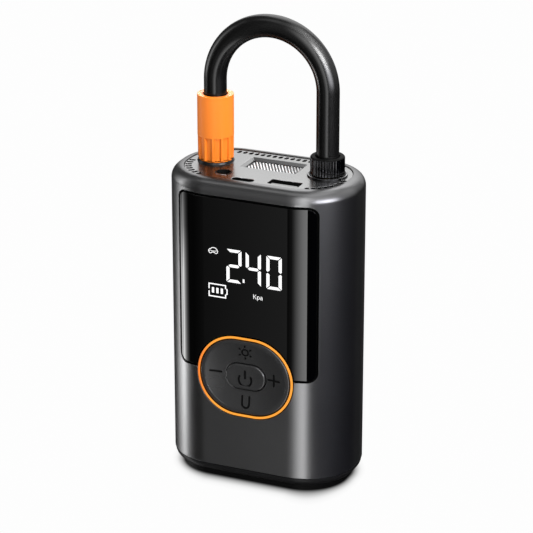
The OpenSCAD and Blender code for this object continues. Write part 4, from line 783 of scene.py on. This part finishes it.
def addWindow():
    pane = Surface()
    seam, edge, near, far = window["seam"], window["edge"], *window["lineReach"]
    loops = edgeLoops(pane, paneChains, [(-seam - edge, 0, 1.0), (-seam - edge * 0.29, edge * 0.29, 0.7),
                                         (-seam, edge, 0.0), (-seam, window["thick"], 0.0)], 1)
    n = len(loops[0]) // 2
    pane.bridge(loops[0][:n], loops[0][n:][::-1], False)
    for i in loops[0]:
        x, y, z = pane.verts[i]
        off = abs(abs(x) - window["line"])
        if off > far:
            continue
        nx, ny = frontStation(x)[2:]
        pane.normals[i] = (nx, ny, 0)
        if off < near:  # the fine groove where the rolled side begins
            fore, side = window["grooveTilt"]
            side = math.copysign(side, x)
            pane.verts[i] = (x - nx * window["groove"], y - ny * window["groove"], z)
            pane.normals[i] = (nx * fore - ny * side, ny * fore + nx * side, 0)
    pane.bridge(loops[-1][n:][::-1], loops[-1][:n], False)
    pane.make("displayWindow", "smoked_glass", "housing", "smoked_glass", ["display_window"])


# Rows as for the housing, from below
base = {"cap": [(5.2, 3.2, 0, -1), (2.1, 3.2, 0, -1), (1.88, 3.26, 0.95, 0.3), (1.72, 3.36, 0.8, -0.6),
                (1.3, 3.72, 0.75, -0.66), (0.9, 4.15, 0.83, -0.55), (0.58, 4.64, 0.9, -0.44),
                (0.34, 5.3, 0.97, -0.22), (0.22, 6.1, 1, -0.08), (0.24, 6.28, 1, 0), (0.4, 6.38, 0.4, 0.9),
                (1.2, 6.4, 0, 1)],
        "foot": [(5.2, 0.0, 0, -1), (4.0, 0.0, 0, -1), (3.66, 0.12, 0.6, -0.8), (3.52, 0.5, 1, -0.1),
                 (3.5, 0.8, 1, 0), (3.5, 3.22, 1, 0)]}


def addBase():
    cap, foot = Surface(), Surface()
    cap.loft(plainStations(), base["cap"])
    cap.make("baseCap", "cap_satin", "housing", "dark_plastic", ["base_cap"])
    sole = foot.loft(plainStations(), base["foot"])[0]
    foot.faces.append(tuple(reversed(sole)))
    foot.make("footPad", "foot_matt", "housing", "foot_rubber", ["foot_pad"])


# The keypad: a dished key with a pill-shaped power button in its middle, inside the lit ring.
# Edges, hole and button are rows of (outward of their radius, behind the front, outward, forward).
keys = {"front": -22.6, "a": 18.8, "b": 15.3, "dish": 13.4, "deep": 1.1, "back": 2.4, "dishTilt": 1.3,
        "edge": [(0, 0.5, 1, 0.05), (-0.08, 0.22, 0.9, 0.4), (-0.3, 0.06, 0.45, 0.9), (-0.6, 0, 0.05, 1),
                 (-1.1, 0, 0, 1), (-1.5, 0, 0, 1), (-1.64, 0, -0.1, 1), (-1.78, 0.07, -0.75, 0.66),
                 (-1.86, 0.09, 0.1, 1)],
        "dishRows": (13.3, 13.0, 12.4, 11.5, 10.5, 9.4, 8.3, 7.3, 6.6, 6.05),
        "narrowsAt": 9.4, "narrowsOver": 4,
        "hole": [(0.34, 0, 0, 1), (0.1, 0.09, -0.65, 0.75), (0, 0.32, -1, 0.05)],
        "powerA": 8.3, "powerB": 5.2, "powerFront": -22.2, "powerGap": 0.27,
        "button": [(0, 2.0, 1, 0), (0, 0.42, 1, 0.05), (-0.1, 0.16, 0.85, 0.5), (-0.32, 0.03, 0.4, 0.9),
                   (-0.6, 0, 0, 1), (-1.4, 0.02, -0.04, 1), (-2.8, 0.08, -0.05, 1), (-4.2, 0.1, -0.02, 1)],
        "steps": 32}
keyM = keys["a"] - keys["b"]
powerM = keys["powerA"] - keys["powerB"]
dishBall = (keys["dish"] ** 2 + keys["deep"] ** 2) / (2 * keys["deep"])


def dishY(x, z):
    r = math.hypot(max(abs(x) - keyM, 0), z - ring["z"])
    if r >= keys["dish"]:
        return keys["front"]
    return keys["front"] + keys["deep"] - dishBall + math.sqrt(dishBall * dishBall - r * r)


# Rows are (half of the straight part, radius, y or a function of x and z, outward, forward)
def stadium(rows, steps):
    piece = Surface()
    made = []
    for m, r, depth, out, fore in rows:
        row = []
        for side in (1, -1):
            for i in range(steps + 1):
                a = math.pi * (i / steps - 0.5 * side)
                nx, nz = math.cos(a), math.sin(a)
                x, z = side * m + r * nx, ring["z"] + r * nz
                y = depth(x, z) if callable(depth) else depth
                row.append(piece.add((x, y, z), (nx * out, -fore, nz * out)))
        made.append(row)
    piece.join(made)
    return piece, made


# Sections of the ring and its seat: (across, out of the housing's front, outward, forward)
def addRing():
    middle = ring["b"] - ring["band"] / 2 - ring["gap"]
    half, low, deep = ring["band"] / 2 - ring["slack"], -ring["sunk"], -ring["seatDeep"]
    outer = [(half, low, 1, 0), (half, 0.02, 1, 0.1), (half - 0.07, 0.17, 0.8, 0.6),
             (half - 0.2, 0.27, 0.3, 0.95)]
    inner = [(-u, h, -out, fore) for u, h, out, fore in reversed(outer)]

    def put(name, section, look, replaced=()):
        rows = [(ringM, middle + u, lambda x, z, h=h: frontStation(x)[1] - h, out, fore)
                for u, h, out, fore in section]
        stadium(rows, ring["steps"])[0].make(name, look, "housing", "ring_orange", replaced)
    put("keypadRing", outer + [(0, ring["high"], 0, 1)] + inner, "ring_orange", ["keypad_ring"])
    # The seat under the ring is painted near-black as shade round the ring
    seat = [(half, deep, 1, 0), (half, low, 1, 0), (-half, low, -1, 0), (-half, deep, -1, 0)]
    put("ringSeat", seat, "painted_gap_shade")


# The wall and the rim of the key, the dish down to the button, and the wall of the button's hole
def addRocker():
    front, back, hole = keys["front"], keys["front"] + keys["back"], keys["powerB"] + keys["powerGap"]
    rows = [(keyM, keys["b"], back, 1, 0)]
    rows += [(keyM, keys["b"] + u, front + h, out, fore) for u, h, out, fore in keys["edge"]]
    for r in keys["dishRows"]:
        m = keyM + (powerM - keyM) * max(0, (keys["narrowsAt"] - r) / keys["narrowsOver"])
        rows.append((m, r, dishY, -keys["dishTilt"] * r / dishBall, 1))
    rows += [(powerM, hole + u, lambda x, z, h=h: dishY(x, z) + h, out, fore)
             for u, h, out, fore in keys["hole"]]
    rows.append((powerM, hole, back, -1, 0))
    key = stadium(rows, keys["steps"])[0]
    key.make("rockerKey", "key_black", "rocker", "key_black", ["rocker_key"])


def addPower():
    front, b = keys["powerFront"], keys["powerB"]
    rows = [(powerM, b + u, front + h, out, fore) for u, h, out, fore in keys["button"]]
    button, made = stadium(rows, keys["steps"])
    button.faces.append(tuple(made[-1]))
    button.make("powerButton", "key_black", "power_key", "key_black", ["power_button"])


# A stroke with round ends that stands on a surface; points are (x, z)
def stroke(mark, points, width, depth, lift=0.03, closed=False, thick=0.08):
    h, n = width / 2, len(points)
    sides = []
    for side in (1, -1):
        run = []
        for i in range(n)[::side]:
            p0 = points[(i - 1) % n] if closed or i > 0 else points[i]
            p1 = points[(i + 1) % n] if closed or i < n - 1 else points[i]
            dx, dz = p1[0] - p0[0], p1[1] - p0[1]
            d = math.hypot(dx, dz) or 1
            run.append((points[i][0] + side * dz / d * h, points[i][1] - side * dx / d * h))
        if not closed:
            (x, z), (bx, bz) = (points[-1], points[-2]) if side > 0 else (points[0], points[1])
            turn = math.degrees(math.atan2(z - bz, x - bx))
            run += cornerArc(x, z, h, turn - 60, turn + 60, 4)
        sides.append(run)
    if closed:
        rows = [[mark.add((x, depth(x, z) - push, z)) for x, z in run]
                for run in (sides[0], sides[1][::-1]) for push in (lift, lift - thick)]
        for a, b in ((2, 0), (0, 1), (3, 2)):
            mark.bridge(rows[a], rows[b])
        return
    flatMark(mark, sides[0] + sides[1], depth, lift, thick)


# A flat mark with this outline that stands on a surface
def flatMark(mark, outline, depth, lift=0.03, thick=0.05):
    front, back = [], []
    for x, z in outline:
        front.append(mark.add((x, depth(x, z) - lift, z)))
        back.append(mark.add((x, depth(x, z) - lift + thick, z)))
    mark.faces.append(tuple(front))
    mark.bridge(back, front)


icons = {"width": 0.82, "arm": 2.3, "sun": (0.0, 56.1), "sunR": 1.3, "sunWidth": 0.68, "rays": (2.42, 2.76),
         "rayWidth": 0.78, "minus": (-12.55, 46.3), "plus": (11.95, 46.2), "unit": (0.15, 35.3), "unitR": 1.5,
         "power": (-0.1, 44.55), "powerR": 2.7}


def addIcons():
    mark, power = Surface(), Surface()
    w, arm = icons["width"], icons["arm"]
    x, z = icons["sun"]
    stroke(mark, cornerArc(x, z, icons["sunR"], 0, 345, 23), icons["sunWidth"], dishY, closed=True)
    for i in range(6):
        a = math.radians(90 + 60 * i)
        ray = [(x + r * math.cos(a), z + r * math.sin(a)) for r in icons["rays"]]
        stroke(mark, ray, icons["rayWidth"], dishY)
    x, z = icons["minus"]
    stroke(mark, [(x - arm, z), (x, z), (x + arm, z)], w, dishY)
    x, z = icons["plus"]
    stroke(mark, [(x - arm - 0.05, z), (x, z), (x + arm + 0.05, z)], w, dishY)
    stroke(mark, [(x, z - arm), (x, z), (x, z + arm)], w, dishY, lift=0.031)
    x, z = icons["unit"]
    r = icons["unitR"]
    bow = cornerArc(x, z - 0.8, r, 180, 360, 14)
    stroke(mark, [(x - r, z + arm), (x - r, z + 0.8), *bow, (x + r, z + 0.8), (x + r, z + arm)], w, dishY)
    # The icon strokes are painted near-black as the shade of engraved grooves
    mark.make("keyIcons", "iconGrooveShade", "rocker", "key_black", smooth=False)
    x, z = icons["power"]

    def buttonY(px, pz):
        return keys["powerFront"] + 0.06
    stroke(power, cornerArc(x, z, icons["powerR"], 150, 390, 22), w, buttonY)
    stroke(power, [(x, z + 0.75), (x, z + 2.2), (x, z + 3.75)], w, buttonY)
    power.make("powerIcon", "iconGrooveShade", "power_key", "key_black", smooth=False)


# What glows on the pane. A digit is (left, foot, its lit segments), a box (left, foot, right, top).
display = {"width": 6.3, "height": 13.4, "wide": 1.28, "thick": 1.15, "gap": 0.26, "stroke": 0.18,
           "digits": ((-7.5, 84.4, "abged"), (0.55, 84.35, "fgbc"), (9.12, 84.1, "abcdef")),
           "point": (-0.72, 84.98, 0.0, 86.35),
           "battery": (-15.1, 77.35, -7.7, 82.85), "wall": 0.46, "leftGap": 0.46, "rightGap": 1.15,
           "bars": 3, "bar": 0.92, "barPitch": 1.86, "barHalf": 1.1, "barInset": 1.42,
           "knob": [(0.03, -1.3), (0.62, -1.1), (0.62, 1.1), (0.03, 1.3), (0.03, 0.78), (0.16, 0.6),
                    (0.16, -0.6), (0.03, -0.78)],
           "car": (-13.06, 96.15), "carWidths": (0.28, 0.2),
           "hull": [(-1.95, -0.1), (-1.45, 0.6), (-0.95, 0.72), (-0.55, 1.15), (0.1, 1.3), (0.9, 1.2),
                    (1.5, 0.7), (1.95, 0.0), (1.75, -0.8), (1.25, -1.08), (0.8, -0.85), (0.5, -0.6),
                    (-0.5, -0.62), (-0.75, -0.95), (-1.2, -1.1), (-1.65, -0.75)],
           "sill": [(-1.6, -0.15), (-1.1, 0.1), (-0.75, -0.12), (0.6, -0.12), (1.5, 0.05)],
           "unit": (3.75, 79.1), "unitScale": 0.87,
           "lines": [[(0, 0), (0, 2.0)], [(1.2, 2.0), (0.12, 0.88)], [(0.42, 1.15), (1.28, 0)],
                     [(1.8, -0.6), (1.8, 1.4)]],
           "bowls": [(2.33, 0.72, 0.5, 0.66), (3.72, 0.42, 0.46, 0.4)], "crown": (3.73, 0.95, 0.46, 0.45)}


def paneY(x, z):
    return -body["depth"] / 2


# A flat mark on the pane, with its outline turned to face forward
def paneMark(mark, points):
    area = sum(a[0] * b[1] - b[0] * a[1] for a, b in zip(points, points[1:] + points[:1]))
    flatMark(mark, points if area > 0 else points[::-1], paneY)


def box(x0, z0, x1, z1):
    return [(x0, z0), (x1, z0), (x1, z1), (x0, z1)]


# The outlines of a digit's segments, with mitred ends
def segmentShape(key):
    w, h, s, t, g = [display[word] for word in ("width", "height", "wide", "thick", "gap")]
    m, q, r = h / 2, t / 2, s / 2
    shapes = {
        "a": [(g, h), (w - g, h), (w - s - g, h - t), (s + g, h - t)],
        "d": [(g, 0), (s + g, t), (w - s - g, t), (w - g, 0)],
        "b": [(w, h - g), (w, m + q * 0.6 + g), (w - r * 0.8, m + g), (w - s, m + q + g), (w - s, h - t - g)],
        "c": [(w, g), (w - s, t + g), (w - s, m - q - g), (w - r * 0.8, m - g), (w, m - q * 0.6 - g)],
        "f": [(0, h - g), (s, h - t - g), (s, m + q + g), (r * 0.8, m + g), (0, m + q * 0.6 + g)],
        "e": [(0, g), (0, m - q * 0.6 - g), (r * 0.8, m - g), (s, m - q - g), (s, t + g)],
        "g": [(r + g, m), (s + g, m + q), (w - s - g, m + q), (w - r - g, m), (w - s - g, m - q),
              (s + g, m - q)]}
    return shapes[key]


def drawDigits(mark):
    for x, z, segments in display["digits"]:
        for key in segments:
            paneMark(mark, [(x + a, z + b) for a, b in segmentShape(key)])
    paneMark(mark, box(*display["point"]))


# Two halves of a frame, a knob on its right and the bars inside
def drawBattery(mark):
    x0, z0, x1, z1 = display["battery"]
    t, left, right, tall = [display[word] for word in ("wall", "leftGap", "rightGap", "barHalf")]
    zc, half = (z0 + z1) / 2, (z1 - z0) / 2
    for s in (1, -1):
        corners = [(x0, left), (x0 + t, left), (x0 + t, half - t), (x1 - t, half - t), (x1 - t, right),
                   (x1, right), (x1, half), (x0, half)]
        paneMark(mark, [(x, zc + s * z) for x, z in corners])
    paneMark(mark, [(x1 + x, zc + z) for x, z in display["knob"]])
    for i in range(display["bars"]):
        bx = x0 + display["barInset"] + display["barPitch"] * i
        paneMark(mark, box(bx, zc - tall, bx + display["bar"], zc + tall))


def drawCar(mark):
    cx, cz = display["car"]
    for part, width in zip(("hull", "sill"), display["carWidths"]):
        closed = part == "hull"
        points = [(cx + x, cz + z) for x, z in display[part]]
        stroke(mark, points[::-1] if closed else points, width, paneY, closed=closed, thick=0.05)


# The letters of the unit: straight strokes, two bowls, and the last letter's crown
def drawUnit(mark):
    def letter(points, closed=False):
        x0, z0 = display["unit"]
        u = display["unitScale"]
        stroke(mark, [(x0 + u * x, z0 + u * z) for x, z in points], display["stroke"], paneY, closed=closed,
               thick=0.05)

    def oval(cx, cz, rx, rz, turns):
        return [(cx + rx * math.cos(math.radians(t)), cz + rz * math.sin(math.radians(t))) for t in turns]
    for line in display["lines"]:
        letter(line)
    for bowl in display["bowls"]:
        letter(oval(*bowl, range(0, 360, 20)), True)
    letter([(4.19, 0), (4.19, 0.8)] + oval(*display["crown"], range(0, 150, 15)))


def addDisplay():
    marks = {"displayDigits": drawDigits, "displayBattery": drawBattery, "displayCar": drawCar,
             "displayUnit": drawUnit}
    for name, draw in marks.items():
        mark = Surface()
        draw(mark)
        mark.make(name, "digitGlow", "housing", "smoked_glass", smooth=False)


# The top plate. Ports are (x, y, radius) or (x, y, width, depth, corner), seen from above. The
# lamp's bezel is rows of (growth, corner, height, sideways part, forward part, upward part).
plate = {"top": 123.6, "low": 121.6, "inset": 5.02, "soft": 0.14, "lampY": 5.1, "lampW": 23.3, "lampD": 12.4,
         "bezel": [(0.2, 0.5, 0, 0, 0, 1), (-0.1, 0.4, -0.1, 0.68, 0.306, 0.73),
                   (-2.25, 0.2, -1.02, 0.68, 0.306, 0.73), (-2.4, 0.15, -1.15, 1, 1, 0.05)],
         "dockHole": 7.15, "outletHole": 6.0,
         "jack": (-14.2, -9.9, 3.25), "smallPort": (-4.0, -14.9, 8.9, 3.3, 1.64),
         "largePort": (12.3, -12.4, 12.5, 5.3, 0.8)}
vents = {"width": 1.64, "length": 2.76, "inset": 6.6, "backInset": 7.6, "pitch": 2.5, "back": 16,
         "side": 8, "start": 69}
legX, legY = 23.3, 2.8


def circleLoop(cx, cy, r, steps):
    return cornerArc(cx, cy, r, 0, 360, steps)[:-1]


def roundedLoop(cx, cy, w, d, r, steps=5):
    pts = []
    for sx, sy, start in ((1, -1, -90), (1, 1, 0), (-1, 1, 90), (-1, -1, 180)):
        pts += cornerArc(cx + sx * (w / 2 - r), cy + sy * (d / 2 - r), r, start, start + 90, steps)
    return pts


def slotLoop(cx, cy, degrees, length, width, steps=4):
    c, s = math.cos(math.radians(degrees)), math.sin(math.radians(degrees))
    return [(cx + x * c - y * s, cy + x * s + y * c)
            for x, y in roundedLoop(0, 0, length, width, width / 2 - 1e-4, steps)]


# A straight row at the back, and a row that follows the housing round each end
def ventPlaces():
    first, y = -(vents["back"] - 1) / 2, body["depth"] / 2 - vents["backInset"]
    places = [((first + i) * vents["pitch"], y, 90) for i in range(vents["back"])]
    r, start = body["corner"] - vents["inset"], vents["start"]
    lead, side = r * math.radians(start), 2 * arcY
    for i in range(vents["side"]):
        s = i * vents["pitch"]
        a = math.degrees((s if s < lead else max(s - side, lead)) / r) - start
        y = min(max(s - lead, 0), side) - arcY + r * math.sin(math.radians(a))
        x = arcX + r * math.cos(math.radians(a))
        places += [(x, y, a), (-x, y, 180 - a)]
    return places


# Every opening but the lamp's, each as a function of how far it is grown
def plateOpenings():
    def port(x, y, w, d, r, steps):
        return lambda g: roundedLoop(x, y, w + 4 * g, d + 4 * g, r + 2 * g, steps)

    def vent(x, y, a):
        return lambda g: slotLoop(x, y, a, vents["length"] + 0.4 * g, vents["width"] + 0.4 * g)
    jackX, jackY, jackR = plate["jack"]
    return [lambda g: circleLoop(-legX, legY, plate["dockHole"] + g, 48),
            lambda g: circleLoop(legX, legY, plate["outletHole"] + g, 48),
            lambda g: circleLoop(jackX, jackY, jackR + 2 * g, 40),
            port(*plate["smallPort"], 8),
            port(*plate["largePort"], 5)] + [vent(*place) for place in ventPlaces()]


# Whether a point lies inside a loop
def inside(px, py, loop):
    hit = False
    for (x0, y0), (x1, y1) in zip(loop, loop[1:] + loop[:1]):
        if (y0 > py) != (y1 > py) and px < (x1 - x0) * (py - y0) / (y1 - y0) + x0:
            hit = not hit
    return hit


# A flat face with holes, as triangles of indices into the loops' points in order
def flatFill(loops):
    points, edges = [], []
    for loop in loops:
        start, n = len(points), len(loop)
        points += [Vector(point) for point in loop]
        edges += [(start + i, start + (i + 1) % n) for i in range(n)]
    out = delaunay_2d_cdt(points, edges, [], 1, 1e-7, True)
    made = []
    for tri in out[2]:
        cx, cy = [sum(out[0][i][axis] for i in tri) / 3 for axis in (0, 1)]
        if inside(cx, cy, loops[0]) and not any(inside(cx, cy, hole) for hole in loops[1:]):
            made.append([out[3][i][0] for i in tri])
    return made


def addPlate():
    top, low, soft, inset = plate["top"], plate["low"], plate["soft"], plate["inset"]
    face, walls, bezel = Surface(), Surface(), Surface()
    rim = [(inset, low, 1, 0), (inset, top - soft, 1, 0.05),
           (inset + soft * 0.3, top - soft * 0.3, 0.7, 0.7), (inset + soft, top, 0, 1)]
    ids = face.loft(plainStations(4), rim)[-1]
    loops = [[face.verts[i][:2] for i in ids]]
    edge = [(soft, top, 0, 1), (soft * 0.3, top - soft * 0.3, -0.7, 0.7), (0, top - soft, -1, 0.05)]
    for opening in plateOpenings():
        walls.join([[walls.add((x, y, z)) for x, y in opening(0)] for z in (top - soft, low)])
        rows = []
        for grow, z, out, up in edge:
            loop = opening(grow)
            mx, my = [sum(point[axis] for point in loop) / len(loop) for axis in (0, 1)]
            row = []
            for x, y in loop:
                d = math.hypot(x - mx, y - my)
                row.append(face.add((x, y, z), ((x - mx) / d * out, (y - my) / d * out, up)))
            rows.append(row)
        loops.append(opening(soft))
        ids += rows[0]
        face.join(rows)
    rows, last = [], plate["bezel"][-1]
    for grow, r, drop, out, fore, up in plate["bezel"] + [(*last[:2], low - top, *last[3:])]:
        z = top + drop
        loop = roundedLoop(0, plate["lampY"], plate["lampW"] + grow, plate["lampD"] + grow, r, 3)
        if not rows:
            loops.append(loop)
        row = []
        for k, (x, y) in enumerate(loop):
            nx, ny = ((0, 1), (-1, 0), (0, -1), (1, 0))[(k + 2) // 4 % 4]
            row.append(face.add((x, y, z), (nx * out, ny * (fore if ny < 0 else out), up)))
        rows.append(row)
    ids += rows[0]
    # The back bevel is painted darker than the rest of the plate: a painted shade
    for a, c in zip(rows, rows[1:]):  # the back bevel is a darker strip of its own
        first = len(face.faces)
        face.bridge(a, c)
        strip = face.faces.pop(first + 7)
        bezel.faces.append(tuple(bezel.add(face.verts[i], face.normals[i]) for i in strip))
    bezel.make("lampBezel", "bezel_shade", "housing", "plate_grey")
    # The walls of the plate's openings are painted near-black as shade inside them
    walls.make("plateOpenings", "painted_gap_shade", "housing", "plate_grey", smooth=False)
    face.faces += [tuple(ids[i] for i in tri) for tri in flatFill(loops)]
    face.make("topPlate", "plate_grey", "housing", "plate_grey", ["top_plate"])


lens = {"width": 20.8, "depth": 9.9, "top": 122.45, "bed": 122.16, "low": 119.95, "columns": 15, "rows": 7,
        "beadX": 0.36, "beadY": 0.52, "lean": 0.8, "skew": 0.35, "margin": 0.5,
        "rings": 5, "rise": 90 / 4.6, "sides": 12}


# Slanting rows of small beads painted white as highlights, on a bed painted dark as shade
def addLens():
    beads, bed = Surface(), Surface()
    w, d = lens["width"], lens["depth"]
    for k in range(lens["rows"]):
        for i in range(lens["columns"]):
            along = (i + 0.5) * w / lens["columns"] - (k - lens["rows"] // 2) * lens["lean"]
            cx = -w / 2 + lens["margin"] + (along % w) * (w - 2 * lens["margin"]) / w
            cy = plate["lampY"] - d / 2 + (k + 0.5) * d / lens["rows"]
            rows = []
            for part in range(lens["rings"]):
                t = math.radians(lens["rise"] * part)
                z = lens["bed"] + (lens["top"] - lens["bed"]) * math.sin(t)
                row = []
                for j in range(lens["sides"]):
                    a = 2 * math.pi * j / lens["sides"]
                    dx, dy = math.cos(a) * math.cos(t), math.sin(a) * math.cos(t)
                    x = cx + dx * lens["beadX"] - lens["skew"] * dy * lens["beadY"]
                    row.append(beads.add((x, cy + dy * lens["beadY"], z), (dx, dy, math.sin(t) * 1.3 + 0.05)))
                rows.append(row)
            beads.join(rows)
            beads.faces.append(tuple(rows[-1]))
    beads.make("lensBeads", "lens_bead_highlight", "housing", "lens_clear")
    rows = []
    for z, grow in ((lens["low"], 0), (lens["bed"] - 0.05, 0), (lens["bed"] + 0.02, -0.12)):
        loop = roundedLoop(0, plate["lampY"], w + grow, d + grow, 0.3, 3)
        rows.append([bed.add((x, y, z)) for x, y in loop])
    bed.join(rows)
    bed.faces += [tuple(rows[-1]), tuple(reversed(rows[0]))]
    bed.make("lampLens", "lens_bed_shade", "housing", "lens_clear", ["lamp_lens"], smooth=False)


# Profiles as corner points (radius, height, rounding); the lip's rows are those of a turned piece
sockets = {"dock": [(6.65, 114.7, 0), (6.5, 124.35, 0.15), (6.98, 124.35, 0.2), (7.15, 123.6, 0)],
           "outlet": [(7.8, 122.2, 0), (7.8, 124.3, 0.3), (6.9, 124.3, 0.15), (6.2, 123.95, 0.2),
                      (4.05, 123.95, 0.2), (4.05, 114.2, 0)],
           "lip": [(7.74, 124.18, 0.8, 0.6), (7.63, 124.27, 0.4, 0.92), (7.5, 124.31, 0, 1),
                   (7.34, 124.31, -0.3, 0.95)]}


def addSockets():
    dock = turned(profileRows(sockets["dock"])[::-1], -legX, legY)
    dock.normals = [(-x, -y, -z) for x, y, z in dock.normals]
    dock.make("chuckDock", "dark_plastic", "housing", "dark_plastic", ["chuck_dock"])
    outlet = turned(profileRows(sockets["outlet"]), legX, legY)
    outlet.make("airOutlet", "outlet_metal", "housing", "outlet_metal", ["air_outlet"])
    # The collar's rounded top edge is laid over with bright steel: a painted highlight along it
    turned(sockets["lip"], legX, legY).make("outletLip", "port_steel", "housing", "outlet_metal")


def smoothStep(t):
    t = min(max(t, 0), 1)
    return t * t * (3 - 2 * t)


# A turned profile with more rows at these heights along its long outer side, which may taper
# below a shoulder
def withRows(rows, radius, length, heights, shoulder=0.0, taper=0.0):
    fuller = []
    for a, b in zip(rows, rows[1:]):
        fuller.append(a)
        if b[1] - a[1] > length and a[0] > radius:
            run = [z for z in heights if a[1] < z < b[1]]
            fuller += [(max(a[0], b[0]) - taper * max(0, shoulder - z), z, 1, 0) for z in run]
    return fuller + rows[-1:]


# The sleeve tapers a little below its shoulder, and its flutes fade out just under that height
chuck = {"shoulder": 134, "taper": 0.1 / 9.3, "core": 6.6, "flutes": 12, "deep": 0.75, "half": 0.34,
         "soft": 0.045, "wall": 0.05, "tilt": 2.2, "fadeFrom": 133.7, "fade": 0.3,
         "profile": [(5.45, 118.72, 0), (6.3, 118.72, 0.3), (6.3, 124.7, 0.1), (6.95, 124.7, 0.25),
                     (7.05, 150.3, 0.16), (4.8, 150.3, 0.3), (4.8, 137.0, 0)],
         "rows": [127, 129, 131, 132.6, 133.2, 133.6, 133.75, 133.9, 134.05, 134.4, 138, 144]}


def fluted(r, z, a):
    if r < chuck["core"]:
        return r, 0.0
    t = (a * chuck["flutes"] / (2 * math.pi) + 0.5) % 1 - 0.5
    fade = 1 - smoothStep((z - chuck["fadeFrom"]) / chuck["fade"])
    inner = 1 - smoothStep((abs(t) - chuck["half"] + chuck["soft"]) / (2 * chuck["soft"]))
    wall = abs(abs(t) - chuck["half"]) < chuck["wall"]
    return r - chuck["deep"] * inner * fade, -math.copysign(fade * chuck["tilt"], t) if wall else 0.0


def addSleeve():
    rows = withRows(profileRows(chuck["profile"]), 6.8, 10, chuck["rows"], chuck["shoulder"], chuck["taper"])
    sleeve = turned(rows, -legX, legY, 288, fluted)
    sleeve.make("chuckSleeve", "chuck_orange", "chuck", "chuck_orange", ["chuck_sleeve"])


# The knurled nut, with its smooth top as a matt piece of its own
nut = {"core": 6.0, "ribs": 36, "deep": 0.3, "tilt": 0.8, "sharp": 0.6, "fadeFrom": 130.9, "fade": 0.3,
       "top": 130.95, "rows": (124.8, 126.4, 128, 129.8, 130.5),
       "profile": [(5.25, 124.42, 0), (6.65, 124.42, 0.2), (6.65, 131.4, 0.5), (4.7, 131.4, 0.3),
                   (4.7, 128.0, 0)]}


def knurled(r, z, a):
    if r < nut["core"]:
        return r, 0.0
    t = a * nut["ribs"]
    wave = (0.5 - 0.5 * math.cos(t)) ** nut["sharp"]
    lip = smoothStep((z - nut["fadeFrom"]) / nut["fade"])
    return r - nut["deep"] * (wave * (1 - lip) + 0.5 * lip), -nut["tilt"] * math.sin(t) * (1 - lip)


def addNut():
    rows = withRows(profileRows(nut["profile"]), 6, 3, nut["rows"])
    top = max(i for i, row in enumerate(rows) if row[1] < nut["top"] and row[0] > nut["core"])
    knurl = turned(rows[:top + 1], legX, legY, 360, knurled)
    knurl.make("couplingNut", "nut_black", "nut", "nut_black", ["coupling_nut"])
    turned(rows[top:], legX, legY, 180, knurled).make("nutTop", "nut_matt", "nut", "nut_black")


# The hose: heights along its left and right legs, which a half circle joins
hose = {"radius": 4.4, "bendZ": 156.0, "bendSteps": 72, "sides": 56,
        "left": (138.9, 142, 145, 148, 150, 152, 154),
        "right": (153, 150, 146, 142, 138, 134, 131.5, 129.5, 127.2)}


def addHose():
    path = [(-legX, z, -1, 0) for z in hose["left"]]
    for i in range(hose["bendSteps"] + 1):
        a = math.pi - math.pi * i / hose["bendSteps"]
        path.append((legX * math.cos(a), hose["bendZ"] + legX * math.sin(a), math.cos(a), math.sin(a)))
    path += [(legX, z, 1, 0) for z in hose["right"]]
    tube, rows, r = Surface(), [], hose["radius"]
    for px, pz, ox, oz in path:
        row = []
        for i in range(hose["sides"]):
            a = 2 * math.pi * i / hose["sides"]
            c, s = math.cos(a), math.sin(a)
            row.append(tube.add((px + ox * c * r, legY + s * r, pz + oz * c * r), (ox * c, s, oz * c)))
        rows.append(row)
    for a, b in zip(rows, rows[1:]):
        tube.bridge(b, a)
    tube.faces += [tuple(rows[0]), tuple(reversed(rows[-1]))]
    tube.make("fillingHose", "hose_rubber", "hose_set", "hose_rubber", ["hose"])


for add in (addHousing, addWindow, addBase, addRing, addRocker, addPower, addIcons, addDisplay):
    add()
print("housing and front ready")
for add in (addPlate, addLens, addSockets, addSleeve, addNut, addHose):
    add()
for name in ("chuckBack", "hoseSoft", "hoseHigh"):
    addLamp(name)
print("top and hose ready")

# Every node that stays gets the finish of its own slot
for name, node in nodes.items():
    if node.hide_render:
        continue
    for entry in node.material_slots:
        entry.material = finish[name if name in portFinishes else entry.material.name.split(".")[0]]
print("inner pieces ready")
